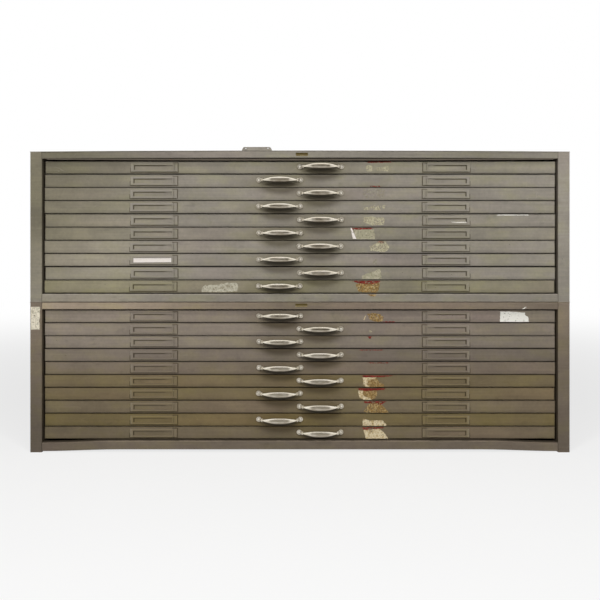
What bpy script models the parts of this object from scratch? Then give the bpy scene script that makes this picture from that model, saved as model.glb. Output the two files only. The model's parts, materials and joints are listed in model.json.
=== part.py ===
"""Flat file cabinet: two stacked steel sections with ten shallow sheet drawers each.

The cabinet stands on z = 0 with its front towards -Y and +X to the right. The origin lies under
the middle of the whole object, handles included. All lengths are in metres. Each section is
modelled in its own frame: y = 0 is the front face of its stiles and z = 0 is its underside.
"""

import math
from collections import namedtuple

import bmesh
import bpy
from mathutils import Vector

# Whole case
CASE_WIDTH = 1.365
CASE_DEPTH = 1.050
SECTION_HEIGHT = 0.380
SHEET = 0.0012
CLEARANCE = 0.0003
OVERRUN = 0.004
SMOOTH_ANGLE = math.radians(35)

# Side panels with their folded front stiles
STILE_WIDTH = 0.030
STILE_DEPTH = 0.034
STILE_BEND_INSIDE = 0.0018
STILE_BEND_STEPS = 3
REAR_FLANGE = 0.038
TOP_LEDGE = 0.020

# Front rails
RAIL_SETBACK = 0.0005
RAIL_SEAM = 0.0005
RAIL_FLANGE = 0.020
RAIL_BEND_INSIDE = 0.0007
RAIL_BEND_STEPS = 2
UPPER_TOP_RAIL = 0.0185
UPPER_HEAD_GAP = 0.0050
UPPER_BOTTOM_RAIL = 0.0200
UPPER_CROWN = 0.0028
CROWN_STEPS = 8
LOWER_TOP_RAIL = 0.0188
LOWER_HEAD_GAP = 0.0033
LOWER_BOTTOM_RAIL = 0.0220
LOWER_RAIL_LIFT = 0.0025
LOWER_ARCH_RISE = 0.0045
LOWER_ARCH_RAMP = 0.195
RAMP_SHARES = (0, 0.18, 0.36, 0.52, 0.68, 0.84, 1)

# Back panel with two pressed stiffening ribs
BACK_RIB_SPACING = 0.640
BACK_RIB_WIDTH = 0.050
BACK_RIB_DEPTH = 0.008
BACK_RIB_SLOPE = 0.008

# Bottom pan
PAN_LIP = 0.012
PAN_SIDE_GAP = 0.004

# Drawers
DRAWERS_PER_SECTION = 10
DRAWER_DEPTH = 1.000
DRAWER_RECESS = 0.010
SIDE_GAP = 0.003
SIDE_PLAY = 0.0015
SETBACK = 0.003
FRONT_GAP = 0.0026
FRONT_THICKNESS = 0.014
FRONT_EDGE = 0.0020
FRONT_EDGE_STEPS = 2
TRAY_RISE = 0.003
FLANGE_WIDTH = 0.011
FLANGE_DROP = 0.0065
HOOD_DEPTH = 0.130
SETBACK_SHARES = (
    0.55, 0.30, 0.25, 0.10, 0.50, 0.35, 0.00, 0.15, 0.60, 0.25,
    0.45, 0.30, 0.70, 0.20, 0.40, 0.10, 0.80, 0.35, 0.55, 0.20,
)
SIDEWAYS_SHARES = (
    0.80, 0.25, -0.25, -0.45, 0.55, 0.25, -0.45, -0.25, 0.55, -0.95,
    0.10, -0.35, 0.30, -0.10, 0.45, -0.30, -0.55, 0.20, -0.15, -0.40,
)
GAP_CLOSED_SHARES = (
    0.10, 0.55, 0.35, 0.15, 0.45, 0.40, 0.30, 0.00, 0.35, 0.30,
    0.25, 0.50, 0.20, 0.35, 0.40, 0.15, 0.30, 0.20, 0.35, 0.10,
)

# Runner channels, one pair of ledges for each drawer flange
LEDGE_TIP_GAP = 0.0025
RUN_CLEARANCE = 0.0008
RUNNER_FOOT_GAP = 0.002
RUNNER_HEAD = 0.006

# Card frames on the drawer fronts
CARD_SPACING = 0.748
CARD_OPENING_WIDTH = 0.099
CARD_OPENING_HEIGHT = 0.0125
CARD_OUTER_END = 0.007
CARD_INNER_END = 0.0125
CARD_RAIL = 0.0045
CARD_RELIEF = 0.0024
CARD_SLOPE = 0.0014

# Cast bow handles
HANDLE_OFFSET = 0.0515
HANDLE_RISE = 0.0020
HANDLE_REACH = 0.0270
HANDLE_SPAN = 0.1060
FOOT_RADIUS = 0.0070
FOOT_THICKNESS = 0.0036
FOOT_CROWN_SHARE = 0.72
FOOT_SIDES = 10
BOW_HALF_LENGTH = 0.0480
BOW_SPRING = 0.0022
BOW_THICKNESS = 0.0062
BOW_HEIGHT = 0.0148
NECK_HEIGHT = 0.0056
NECK_THICKNESS = 0.0046
COLLAR_PROUD = 0.0011
BOW_SIDES = 8
BOW_SHARES = (0, 0.30, 0.58, 0.79, 0.89, 0.935, 1)
COLLAR_SHARE = 0.935

# Lug on the top panel
LUG_CENTRE = -0.109
LUG_BASE = 0.0770
LUG_TOP = 0.0685
LUG_HEIGHT = 0.0088
LUG_CORNER = 0.0030
LUG_CORNER_STEPS = 3
LUG_SHEET = 0.0020
LUG_FOOT = 0.022
LUG_INSET = 0.0015
LUG_HOLE_RADIUS = 0.0013
LUG_HOLE_EDGE = 0.0062
LUG_HOLE_SIDES = 8

# Sizes worked out from the driving dimensions
HALF_WIDTH = CASE_WIDTH / 2
OPENING_HALF = HALF_WIDTH - STILE_WIDTH
WALL_TOP = SECTION_HEIGHT - SHEET - CLEARANCE
BACK_FACE = CASE_DEPTH - SHEET
SIDE_BACK = BACK_FACE - CLEARANCE
RUNNER_FRONT = STILE_DEPTH + CLEARANCE
RUNNER_BACK = SIDE_BACK - SHEET - CLEARANCE
FRONT_HALF = OPENING_HALF - SIDE_GAP
FLANGE_TIP = FRONT_HALF - SHEET / 2
TRAY_HALF = FLANGE_TIP - FLANGE_WIDTH
LEDGE_TIP = TRAY_HALF + LEDGE_TIP_GAP
HANDLE_PROUD = HANDLE_REACH - DRAWER_RECESS - SETBACK * min(SETBACK_SHARES)
FRONT_Y = (HANDLE_PROUD - CASE_DEPTH) / 2

PAINT_UPPER = (0.245, 0.216, 0.158)
PAINT_LOWER = (0.165, 0.136, 0.090)
CAST_NICKEL = (0.56, 0.54, 0.50)
STEEL_RUNNER = (0.19, 0.17, 0.13)

Section = namedtuple(
    "Section",
    "name base top_rail head_gap bottom_rail rail_lift arch_rise crown paint first_drawer right_first",
)
UPPER = Section(
    "upper", SECTION_HEIGHT + CLEARANCE, UPPER_TOP_RAIL, UPPER_HEAD_GAP, UPPER_BOTTOM_RAIL,
    0, 0, UPPER_CROWN, PAINT_UPPER, 1, True,
)
LOWER = Section(
    "lower", 0, LOWER_TOP_RAIL, LOWER_HEAD_GAP, LOWER_BOTTOM_RAIL,
    LOWER_RAIL_LIFT, LOWER_ARCH_RISE, 0, PAINT_LOWER, 1 + DRAWERS_PER_SECTION, False,
)


# Outlines

def rounded_path(corners, sheet, bend_inside, steps):
    """Round the inner corners of an open path; give each point with its left-hand normal.

    The sheet lies on the left of the path, so a left turn has the path outside the bend.
    """
    corners = [Vector(corner) for corner in corners]
    heading = (corners[1] - corners[0]).normalized()
    points = [(corners[0], heading.orthogonal())]
    for before, corner, after in zip(corners, corners[1:], corners[2:]):
        arriving = (corner - before).normalized()
        leaving = (after - corner).normalized()
        turn = math.atan2(arriving.cross(leaving), arriving.dot(leaving))
        radius = bend_inside + sheet if turn > 0 else bend_inside
        start = corner - arriving * radius * math.tan(abs(turn) / 2)
        side = math.copysign(1, turn)
        normal = arriving.orthogonal()
        centre = start + normal * radius * side
        for step in range(steps + 1):
            angle = turn * step / steps
            cosine, sine = math.cos(angle), math.sin(angle)
            turned = Vector((normal.x * cosine - normal.y * sine, normal.x * sine + normal.y * cosine))
            points.append((centre - turned * radius * side, turned))
    heading = (corners[-1] - corners[-2]).normalized()
    points.append((corners[-1], heading.orthogonal()))
    return points


def folded_outline(corners, bend_inside, steps):
    """Closed outline of a sheet folded along a path, with the sheet on the left of the path."""
    points = rounded_path(corners, SHEET, bend_inside, steps)
    near = [point for point, normal in points]
    far = [point + normal * SHEET for point, normal in points]
    return near + far[::-1]


def rectangle(low_u, high_u, low_v, high_v):
    """Closed rectangular outline."""
    return [(low_u, low_v), (high_u, low_v), (high_u, high_v), (low_u, high_v)]


# Directions in which an outline can be run out

def across(along, u, v):
    """Outline in depth and height, run along X."""
    return (along, u, v)


def backwards(along, u, v):
    """Outline in width and height, run along Y."""
    return (u, along, v)


def upwards(along, u, v):
    """Outline in width and depth, run along Z."""
    return (u, v, along)


# Solids

def make_object(name, form):
    """Turn a bmesh into a named object with its faces pointing out."""
    bmesh.ops.recalc_face_normals(form, faces=form.faces)
    mesh = bpy.data.meshes.new(name)
    form.to_mesh(mesh)
    form.free()
    piece = bpy.data.objects.new(name, mesh)
    bpy.context.scene.collection.objects.link(piece)
    return piece


def skin_rings(form, rings, closed=False):
    """Join a row of equal rings with quads; cap both ends unless the row closes on itself."""
    loops = [[form.verts.new(point) for point in ring] for ring in rings]
    pairs = list(zip(loops, loops[1:]))
    if closed:
        pairs.append((loops[-1], loops[0]))
    for first, second in pairs:
        for index, corner in enumerate(first):
            following = (index + 1) % len(first)
            form.faces.new((corner, first[following], second[following], second[index]))
    if not closed:
        form.faces.new(loops[0][::-1])
        form.faces.new(loops[-1])


def run_out(name, outline, stations, place, lift=None):
    """Run an outline through its stations; lift raises the outline's second value at each."""
    form = bmesh.new()
    rings = []
    for along in stations:
        raised = lift(along) if lift else 0
        rings.append([place(along, u, v + raised) for u, v in outline])
    skin_rings(form, rings)
    return make_object(name, form)


def boolean(body, tool, operation):
    """Fuse a tool with a body or cut it away, then delete the tool."""
    modifier = body.modifiers.new(operation.lower(), "BOOLEAN")
    modifier.operation = operation
    modifier.solver = "EXACT"
    modifier.object = tool
    graph = bpy.context.evaluated_depsgraph_get()
    result = bpy.data.meshes.new_from_object(body.evaluated_get(graph))
    body.modifiers.remove(modifier)
    old = body.data
    body.data = result
    result.name = body.name
    bpy.data.meshes.remove(old)
    bpy.data.objects.remove(tool)


def fuse(body, *tools):
    """Fuse several solids into one body."""
    for tool in tools:
        boolean(body, tool, "UNION")


def cut(body, *tools):
    """Cut several solids out of one body."""
    for tool in tools:
        boolean(body, tool, "DIFFERENCE")


def finish(piece, colour, roughness, metallic, parent, place=(0, 0, 0)):
    """Give a piece its own material, its parent and its place, and shade its bends smooth."""
    material = bpy.data.materials.new(piece.name + "_finish")
    material.use_nodes = True
    shader = material.node_tree.nodes["Principled BSDF"]
    shader.inputs["Base Color"].default_value = (*colour, 1)
    shader.inputs["Roughness"].default_value = roughness
    shader.inputs["Metallic"].default_value = metallic
    piece.data.materials.clear()
    piece.data.materials.append(material)
    piece.data.shade_smooth()
    piece.data.set_sharp_from_angle(angle=SMOOTH_ANGLE)
    piece.parent = parent
    piece.location = place


def painted(piece, section, parent, place=(0, 0, 0)):
    """Finish a piece in its section's paint."""
    finish(piece, section.paint, 0.55, 0.1, parent, place)


# Places of the drawers in a section

def opening_bottom(section):
    """Height at which the lowest drawer's slot starts, the top of the bottom rail."""
    return section.rail_lift + section.bottom_rail + section.arch_rise


def drawer_pitch(section):
    """Height of one drawer's slot."""
    opening_top = SECTION_HEIGHT - section.top_rail - section.head_gap
    return (opening_top - opening_bottom(section)) / DRAWERS_PER_SECTION


def front_top(section, slot):
    """Height of a drawer front's upper edge; slot 0 is the highest."""
    return SECTION_HEIGHT - section.top_rail - section.head_gap - slot * drawer_pitch(section)


def flange_top(section, slot):
    """Height of the upper face of a drawer's side flanges."""
    return front_top(section, slot) - FLANGE_DROP


# Casework

def side_panel(section, parent, hand):
    """Side wall, hollow front stile and rear flange folded from one sheet, with its ledges."""
    edge = hand * HALF_WIDTH

    def inwards(along, u, v):
        return (edge - hand * u, v, along)

    plan = folded_outline(
        [
            (REAR_FLANGE, SIDE_BACK),
            (0, SIDE_BACK),
            (0, 0),
            (STILE_WIDTH, 0),
            (STILE_WIDTH, STILE_DEPTH),
        ],
        STILE_BEND_INSIDE,
        STILE_BEND_STEPS,
    )
    name = f"{section.name}_{'left' if hand < 0 else 'right'}_side"
    panel = run_out(name, plan, (0, WALL_TOP), inwards)
    foot = rectangle(SHEET / 2, STILE_WIDTH - SHEET / 2, SHEET / 2, SIDE_BACK - SHEET / 2)
    ledge = rectangle(SHEET / 2, TOP_LEDGE, STILE_DEPTH, SIDE_BACK - SHEET / 2)
    fuse(
        panel,
        run_out("foot", foot, (0, SHEET), inwards),
        run_out("ledge", ledge, (WALL_TOP - SHEET, WALL_TOP), inwards),
    )
    painted(panel, section, parent)


def crown_lift(section):
    """Upward bow of the top panel and the top rail."""
    return lambda x: section.crown * (1 - (x / HALF_WIDTH) ** 2)


def even_stations(half, steps):
    """Evenly spaced stations from -half to half."""
    return [half * (2 * step / steps - 1) for step in range(steps + 1)]


def top_panel(section, parent):
    """Top sheet of a section, lying on the walls, the back and the rail."""
    steps = CROWN_STEPS if section.crown else 1
    outline = rectangle(0, CASE_DEPTH, SECTION_HEIGHT - SHEET, SECTION_HEIGHT)
    stations = even_stations(HALF_WIDTH, steps)
    panel = run_out(f"{section.name}_top_panel", outline, stations, across, crown_lift(section))
    painted(panel, section, parent)


def rail_outline(low, high):
    """Section of a front rail: a channel open to the back."""
    return folded_outline(
        [(RAIL_FLANGE, low), (RAIL_SETBACK, low), (RAIL_SETBACK, high), (RAIL_FLANGE, high)][::-1],
        RAIL_BEND_INSIDE,
        RAIL_BEND_STEPS,
    )


def top_rail(section, parent):
    """Channel rail over the first drawer, bowed with the top panel."""
    steps = CROWN_STEPS if section.crown else 1
    outline = rail_outline(SECTION_HEIGHT - section.top_rail, WALL_TOP)
    stations = even_stations(OPENING_HALF - RAIL_SEAM, steps)
    rail = run_out(f"{section.name}_top_rail", outline, stations, across, crown_lift(section))
    painted(rail, section, parent)


def bottom_rail(section, parent):
    """Channel rail under the last drawer; an arched one curves down to the stiles."""
    half = OPENING_HALF - RAIL_SEAM
    low = section.rail_lift
    outline = rail_outline(low, low + section.bottom_rail)

    def arch(x):
        share = min((half - abs(x)) / LOWER_ARCH_RAMP, 1)
        return section.arch_rise * share * share * (3 - 2 * share)

    if section.arch_rise:
        ends = [half - LOWER_ARCH_RAMP * share for share in RAMP_SHARES]
        stations = [-x for x in ends] + ends[::-1]
    else:
        stations = (-half, half)
    rail = run_out(f"{section.name}_bottom_rail", outline, stations, across, arch)
    painted(rail, section, parent)


def back_panel(section, parent):
    """Back sheet with two pressed ribs that stand into the case."""
    path = [(HALF_WIDTH, CASE_DEPTH)]
    for centre in (BACK_RIB_SPACING / 2, -BACK_RIB_SPACING / 2):
        foot = BACK_RIB_WIDTH / 2
        crest = foot - BACK_RIB_SLOPE
        path += [
            (centre + foot, CASE_DEPTH),
            (centre + crest, CASE_DEPTH - BACK_RIB_DEPTH),
            (centre - crest, CASE_DEPTH - BACK_RIB_DEPTH),
            (centre - foot, CASE_DEPTH),
        ]
    path.append((-HALF_WIDTH, CASE_DEPTH))
    outline = folded_outline(path, RAIL_BEND_INSIDE, 1)
    panel = run_out(f"{section.name}_back_panel", outline, (0, WALL_TOP), upwards)
    painted(panel, section, parent)


def bottom_pan(section, parent):
    """Bottom sheet on the feet of the side panels, with turned-up lips at front and back."""
    floor = SHEET + CLEARANCE
    front = RUNNER_FRONT
    back = BACK_FACE - BACK_RIB_DEPTH - CLEARANCE
    outline = folded_outline(
        [(front, floor + PAN_LIP), (front, floor), (back, floor), (back, floor + PAN_LIP)],
        RAIL_BEND_INSIDE,
        1,
    )
    half = HALF_WIDTH - SHEET - PAN_SIDE_GAP
    pan = run_out(f"{section.name}_bottom_pan", outline, (-half, half), across)
    painted(pan, section, parent)


def runners(section, parent, hand):
    """Inner wall behind the stile with a channel of two ledges for each drawer flange."""
    foot = SHEET + CLEARANCE + PAN_LIP + RUNNER_FOOT_GAP
    head = WALL_TOP - SHEET - RUNNER_HEAD
    outline = [(OPENING_HALF + SHEET, foot), (OPENING_HALF, foot)]
    for slot in reversed(range(DRAWERS_PER_SECTION)):
        flange = flange_top(section, slot)
        for ledge_top in (flange - SHEET - CLEARANCE, flange + RUN_CLEARANCE + SHEET):
            outline += [
                (OPENING_HALF, ledge_top - SHEET),
                (LEDGE_TIP, ledge_top - SHEET),
                (LEDGE_TIP, ledge_top),
                (OPENING_HALF, ledge_top),
            ]
    outline += [(OPENING_HALF, head), (OPENING_HALF + SHEET, head)]

    def handed(along, u, v):
        return (hand * u, along, v)

    name = f"{section.name}_{'left' if hand < 0 else 'right'}_runners"
    rack = run_out(name, outline, (RUNNER_FRONT, RUNNER_BACK), handed)
    finish(rack, STEEL_RUNNER, 0.45, 0.6, parent)


def top_lug(section, parent):
    """Upright lug with rounded corners and a foot, fastened on the crowned top panel."""
    slope = (LUG_BASE - LUG_TOP) / 2
    corner_x = LUG_BASE / 2 - slope * (LUG_HEIGHT - LUG_CORNER) / LUG_HEIGHT - LUG_CORNER
    corner_z = LUG_HEIGHT - LUG_CORNER
    outline = [(-LUG_BASE / 2, 0), (LUG_BASE / 2, 0)]
    for side in (1, -1):
        arc = []
        for step in range(LUG_CORNER_STEPS + 1):
            angle = math.pi / 2 * step / LUG_CORNER_STEPS
            x = corner_x + LUG_CORNER * math.cos(angle)
            arc.append((side * x, corner_z + LUG_CORNER * math.sin(angle)))
        outline += arc if side > 0 else arc[::-1]
    lug = run_out("top_lug", outline, (0, LUG_SHEET), backwards)
    foot_outline = rectangle(-LUG_TOP / 2, LUG_TOP / 2, 0, LUG_SHEET)
    fuse(lug, run_out("foot", foot_outline, (LUG_SHEET / 2, LUG_FOOT), backwards))
    for side in (-1, 1):
        centre = side * (LUG_TOP / 2 - LUG_HOLE_EDGE)
        circle = []
        for step in range(LUG_HOLE_SIDES):
            angle = math.tau * (step + 0.5) / LUG_HOLE_SIDES
            x = centre + LUG_HOLE_RADIUS * math.cos(angle)
            circle.append((x, (LUG_HEIGHT + LUG_SHEET) / 2 + LUG_HOLE_RADIUS * math.sin(angle)))
        cut(lug, run_out("hole", circle, (-OVERRUN, LUG_SHEET + OVERRUN), backwards))
    lift = crown_lift(section)(abs(LUG_CENTRE) - LUG_BASE / 2)
    painted(lug, section, parent, (LUG_CENTRE, LUG_INSET, SECTION_HEIGHT + lift + CLEARANCE))


# Drawers and handles

def front_pan(half_height):
    """Hollow drawer front, open at the back, with its front edges rounded by the fold."""
    outline = rectangle(-FRONT_HALF, FRONT_HALF, -half_height, half_height)
    front = run_out("front", outline, (0, FRONT_THICKNESS), backwards)
    form = bmesh.new()
    form.from_mesh(front.data)
    rim = [edge for edge in form.edges if all(vert.co.y < FRONT_EDGE for vert in edge.verts)]
    bmesh.ops.bevel(form, geom=rim, offset=FRONT_EDGE, segments=FRONT_EDGE_STEPS, profile=0.5, affect="EDGES")
    form.to_mesh(front.data)
    form.free()
    hollow = rectangle(SHEET - FRONT_HALF, FRONT_HALF - SHEET, SHEET - half_height, half_height - SHEET)
    cut(front, run_out("hollow", hollow, (SHEET, FRONT_THICKNESS + OVERRUN), backwards))
    return front


def tray(low, flange):
    """Bottom and sides of a drawer with the outward flanges that ride in the runners."""
    wall = TRAY_HALF - SHEET
    outline = [
        (-FLANGE_TIP, flange),
        (-FLANGE_TIP, flange - SHEET),
        (-TRAY_HALF, flange - SHEET),
        (-TRAY_HALF, low),
        (TRAY_HALF, low),
        (TRAY_HALF, flange - SHEET),
        (FLANGE_TIP, flange - SHEET),
        (FLANGE_TIP, flange),
        (wall, flange),
        (wall, low + SHEET),
        (-wall, low + SHEET),
        (-wall, flange),
    ]
    return run_out("tray", outline, (SHEET / 2, DRAWER_DEPTH), backwards)


def back_and_hood(low, flange):
    """Back wall of a drawer and the hood that keeps sheets from curling up behind."""
    back = DRAWER_DEPTH - SHEET / 2
    top = flange - SHEET / 2
    outline = [
        (back, low + SHEET / 2),
        (back, top),
        (DRAWER_DEPTH - HOOD_DEPTH, top),
        (DRAWER_DEPTH - HOOD_DEPTH, top - SHEET),
        (back - SHEET, top - SHEET),
        (back - SHEET, low + SHEET / 2),
    ]
    half = TRAY_HALF - SHEET / 2
    return run_out("hood", outline, (-half, half), across)


def inner_front(low, flange):
    """Inner skin that closes the tray behind the hollow front."""
    half = TRAY_HALF - SHEET / 2
    outline = rectangle(-half, half, low + SHEET / 2, flange - SHEET / 2)
    back = FRONT_THICKNESS - SHEET / 2
    return run_out("skin", outline, (back - SHEET, back), backwards)


def card_frame(side):
    """Raised card holder; its wider end lies towards the middle of the drawer."""
    centre = side * CARD_SPACING / 2
    inner_end = centre - side * CARD_OPENING_WIDTH / 2
    outer_end = centre + side * CARD_OPENING_WIDTH / 2
    high = CARD_OPENING_HEIGHT / 2

    def ring(depth, inner_margin, outer_margin, height_margin):
        near = inner_end - side * inner_margin
        far = outer_end + side * outer_margin
        top = high + height_margin
        return [(x, depth, z) for x, z in rectangle(near, far, -top, top)]

    rings = [
        ring(SHEET / 2, CARD_INNER_END, CARD_OUTER_END, CARD_RAIL),
        ring(-CARD_RELIEF, CARD_INNER_END - CARD_SLOPE, CARD_OUTER_END - CARD_SLOPE, CARD_RAIL - CARD_SLOPE),
        ring(-CARD_RELIEF, 0, 0, 0),
        ring(SHEET / 2, 0, 0, 0),
    ]
    form = bmesh.new()
    skin_rings(form, rings, closed=True)
    return make_object("card_frame", form)


def drawer(section, slot, parent):
    """One shallow drawer; its origin is the middle of its front face."""
    number = section.first_drawer + slot
    index = number - 1
    lower_gap = FRONT_GAP * (1 - GAP_CLOSED_SHARES[index])
    half_height = (drawer_pitch(section) - lower_gap) / 2
    middle = front_top(section, slot) - half_height
    flange = flange_top(section, slot) - middle
    low = TRAY_RISE - half_height
    body = front_pan(half_height)
    body.name = f"drawer_{number:02d}"
    fuse(body, tray(low, flange), back_and_hood(low, flange), inner_front(low, flange))
    fuse(body, card_frame(-1), card_frame(1))
    sideways = SIDE_PLAY * SIDEWAYS_SHARES[index]
    depth = DRAWER_RECESS + SETBACK * SETBACK_SHARES[index]
    painted(body, section, parent, (sideways, depth, middle))
    return body


def bow_ring(share):
    """Section of the bow at a share of its half length, square to its arched path."""
    size = abs(share)
    rise = HANDLE_REACH - BOW_THICKNESS / 2 - BOW_SPRING
    angle = math.asin(share)
    centre = Vector((BOW_HALF_LENGTH * share, -BOW_SPRING - rise * math.cos(angle), 0))
    tangent = Vector((BOW_HALF_LENGTH * math.cos(angle), rise * math.sin(angle), 0)).normalized()
    outward = Vector((tangent.y, -tangent.x, 0))
    swell = (1 - size * size) ** 1.25
    height = NECK_HEIGHT + (BOW_HEIGHT - NECK_HEIGHT) * swell
    thickness = NECK_THICKNESS + (BOW_THICKNESS - NECK_THICKNESS) * swell
    if size == COLLAR_SHARE:
        height += 2 * COLLAR_PROUD
        thickness += 2 * COLLAR_PROUD
    ring = []
    for side in range(BOW_SIDES):
        turn = math.tau * (side + 0.5) / BOW_SIDES
        reach = outward * math.cos(turn) * thickness / 2
        ring.append(centre + reach + Vector((0, 0, math.sin(turn) * height / 2)))
    return ring


def handle_foot(side):
    """Round foot of a handle, a low disc with a chamfered rim."""
    form = bmesh.new()
    rings = []
    levels = (
        (CLEARANCE, FOOT_RADIUS),
        (FOOT_THICKNESS * FOOT_CROWN_SHARE, FOOT_RADIUS),
        (FOOT_THICKNESS, FOOT_RADIUS * FOOT_CROWN_SHARE),
    )
    for depth, radius in levels:
        ring = []
        for step in range(FOOT_SIDES):
            angle = math.tau * step / FOOT_SIDES
            x = side * HANDLE_SPAN / 2 + radius * math.cos(angle)
            ring.append((x, -depth, radius * math.sin(angle)))
        rings.append(ring)
    skin_rings(form, rings)
    return make_object("foot", form)


def bow_handle():
    """Cast bow handle: an arched bar that swells to the middle, collars and two round feet."""
    stations = [-share for share in BOW_SHARES[:0:-1]] + list(BOW_SHARES)
    form = bmesh.new()
    skin_rings(form, [bow_ring(share) for share in stations])
    handle = make_object("handle", form)
    fuse(handle, handle_foot(-1), handle_foot(1))
    return handle


def handle_side(section, slot):
    """Handles stand left and right of the middle in turn."""
    right = (slot % 2 == 0) == section.right_first
    return 1 if right else -1


# Assembly

def section_frame(section):
    """Empty that carries a section."""
    frame = bpy.data.objects.new(f"{section.name}_section", None)
    bpy.context.scene.collection.objects.link(frame)
    frame.location = (0, FRONT_Y, section.base)
    return frame


def build_section(section, handle_mesh):
    """Build a section's casework, its drawers and their handles."""
    frame = section_frame(section)
    for hand in (-1, 1):
        side_panel(section, frame, hand)
        runners(section, frame, hand)
    top_panel(section, frame)
    back_panel(section, frame)
    top_rail(section, frame)
    bottom_rail(section, frame)
    bottom_pan(section, frame)
    for slot in range(DRAWERS_PER_SECTION):
        body = drawer(section, slot, frame)
        name = f"handle_{section.first_drawer + slot:02d}"
        handle = bpy.data.objects.new(name, handle_mesh.copy())
        bpy.context.scene.collection.objects.link(handle)
        place = (handle_side(section, slot) * HANDLE_OFFSET, 0, HANDLE_RISE)
        finish(handle, CAST_NICKEL, 0.25, 1, body, place)
    return frame


def main():
    """Build the whole cabinet."""
    for old in list(bpy.data.objects):
        bpy.data.objects.remove(old)
    pattern = bow_handle()
    upper = build_section(UPPER, pattern.data)
    build_section(LOWER, pattern.data)
    top_lug(UPPER, upper)
    bpy.data.objects.remove(pattern)


main()
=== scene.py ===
"""Looks of a worn steel flat file cabinet: two stacked sections with ten sheet drawers each.

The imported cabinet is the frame. This script paints its nodes in aged enamel and models what the
solids leave plain: cast bow handles with their screws, stamped card holders, bare plates, a
sagging lip, the lug on the top, and the paper and tape left on the fronts. A plain pale studio
stands round it.
All lengths are in metres unless a name says millimetres.
"""

import json
import logging
import math
from contextlib import contextmanager
from dataclasses import dataclass
from enum import Enum
from typing import Callable, ClassVar, Iterator, Union

import bmesh
import bpy
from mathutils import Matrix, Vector, noise


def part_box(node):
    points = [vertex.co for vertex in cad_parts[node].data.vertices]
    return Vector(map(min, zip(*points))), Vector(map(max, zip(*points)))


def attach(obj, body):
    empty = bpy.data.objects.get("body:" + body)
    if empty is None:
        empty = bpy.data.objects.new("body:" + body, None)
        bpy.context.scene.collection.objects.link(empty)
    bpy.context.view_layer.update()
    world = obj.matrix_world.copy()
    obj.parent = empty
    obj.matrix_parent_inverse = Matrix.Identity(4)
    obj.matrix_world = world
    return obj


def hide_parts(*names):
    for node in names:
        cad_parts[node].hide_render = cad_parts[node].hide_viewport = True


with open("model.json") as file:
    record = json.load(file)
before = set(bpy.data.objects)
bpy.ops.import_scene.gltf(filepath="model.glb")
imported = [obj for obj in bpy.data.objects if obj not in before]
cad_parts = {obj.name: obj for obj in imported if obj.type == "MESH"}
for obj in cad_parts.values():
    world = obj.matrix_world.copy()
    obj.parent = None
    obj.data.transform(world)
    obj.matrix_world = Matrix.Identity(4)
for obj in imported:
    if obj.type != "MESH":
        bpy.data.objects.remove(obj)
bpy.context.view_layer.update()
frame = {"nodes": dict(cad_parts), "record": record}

IMAGE_WIDTH = 600
SENSOR_WIDTH = 36.0
MILLIMETRE = 0.001
SECTIONS = ("upper", "lower")
HANDS = ("left", "right")
NOISE_SEED = 1
UPPER_DRAWERS = range(1, 11)
LOWER_DRAWERS = range(11, 21)
HALF_OPENING = 0.6525
SMOOTH_ANGLE = math.radians(38)
QUARTER_TURN = math.radians(90)
UPRIGHT = (QUARTER_TURN, 0.0, 0.0)
SAME_PLACE = 1e-5
ORIGIN = (0.0, 0.0, 0.0)
UNIT_SIZE = (1.0, 1.0, 1.0)
DEEP = 100.0

Pair = tuple[float, float]
Triple = tuple[float, float, float]
Colour = Triple
Socket = bpy.types.NodeSocket
Value = Union[float, Socket]
Tint = Union[Colour, Socket]
Piece = bpy.types.Object

log = logging.getLogger("flat_file")


def smooth(value: float, low: float, high: float) -> float:
    """Ease a value from 0 at low to 1 at high.

    Args:
        value: What is eased.
        low: Value that gives 0.
        high: Value that gives 1.

    Returns:
        A share from 0 to 1.
    """
    share = min(max((value - low) / (high - low), 0.0), 1.0)
    return share * share * (3 - 2 * share)


def faces_front(face: bmesh.types.BMFace) -> bool:
    """Whether a face looks to the front."""
    return face.normal.y < -0.9


def runs_back(edge: bmesh.types.BMEdge, least: float) -> bool:
    """Whether an edge runs from front to back over more than a least length."""
    return abs(edge.verts[0].co.y - edge.verts[1].co.y) > least


class Part(Enum):
    """Kinds of mesh part that can be selected."""

    VERTS = "VERT"
    EDGES = "EDGE"
    FACES = "FACE"


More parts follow.
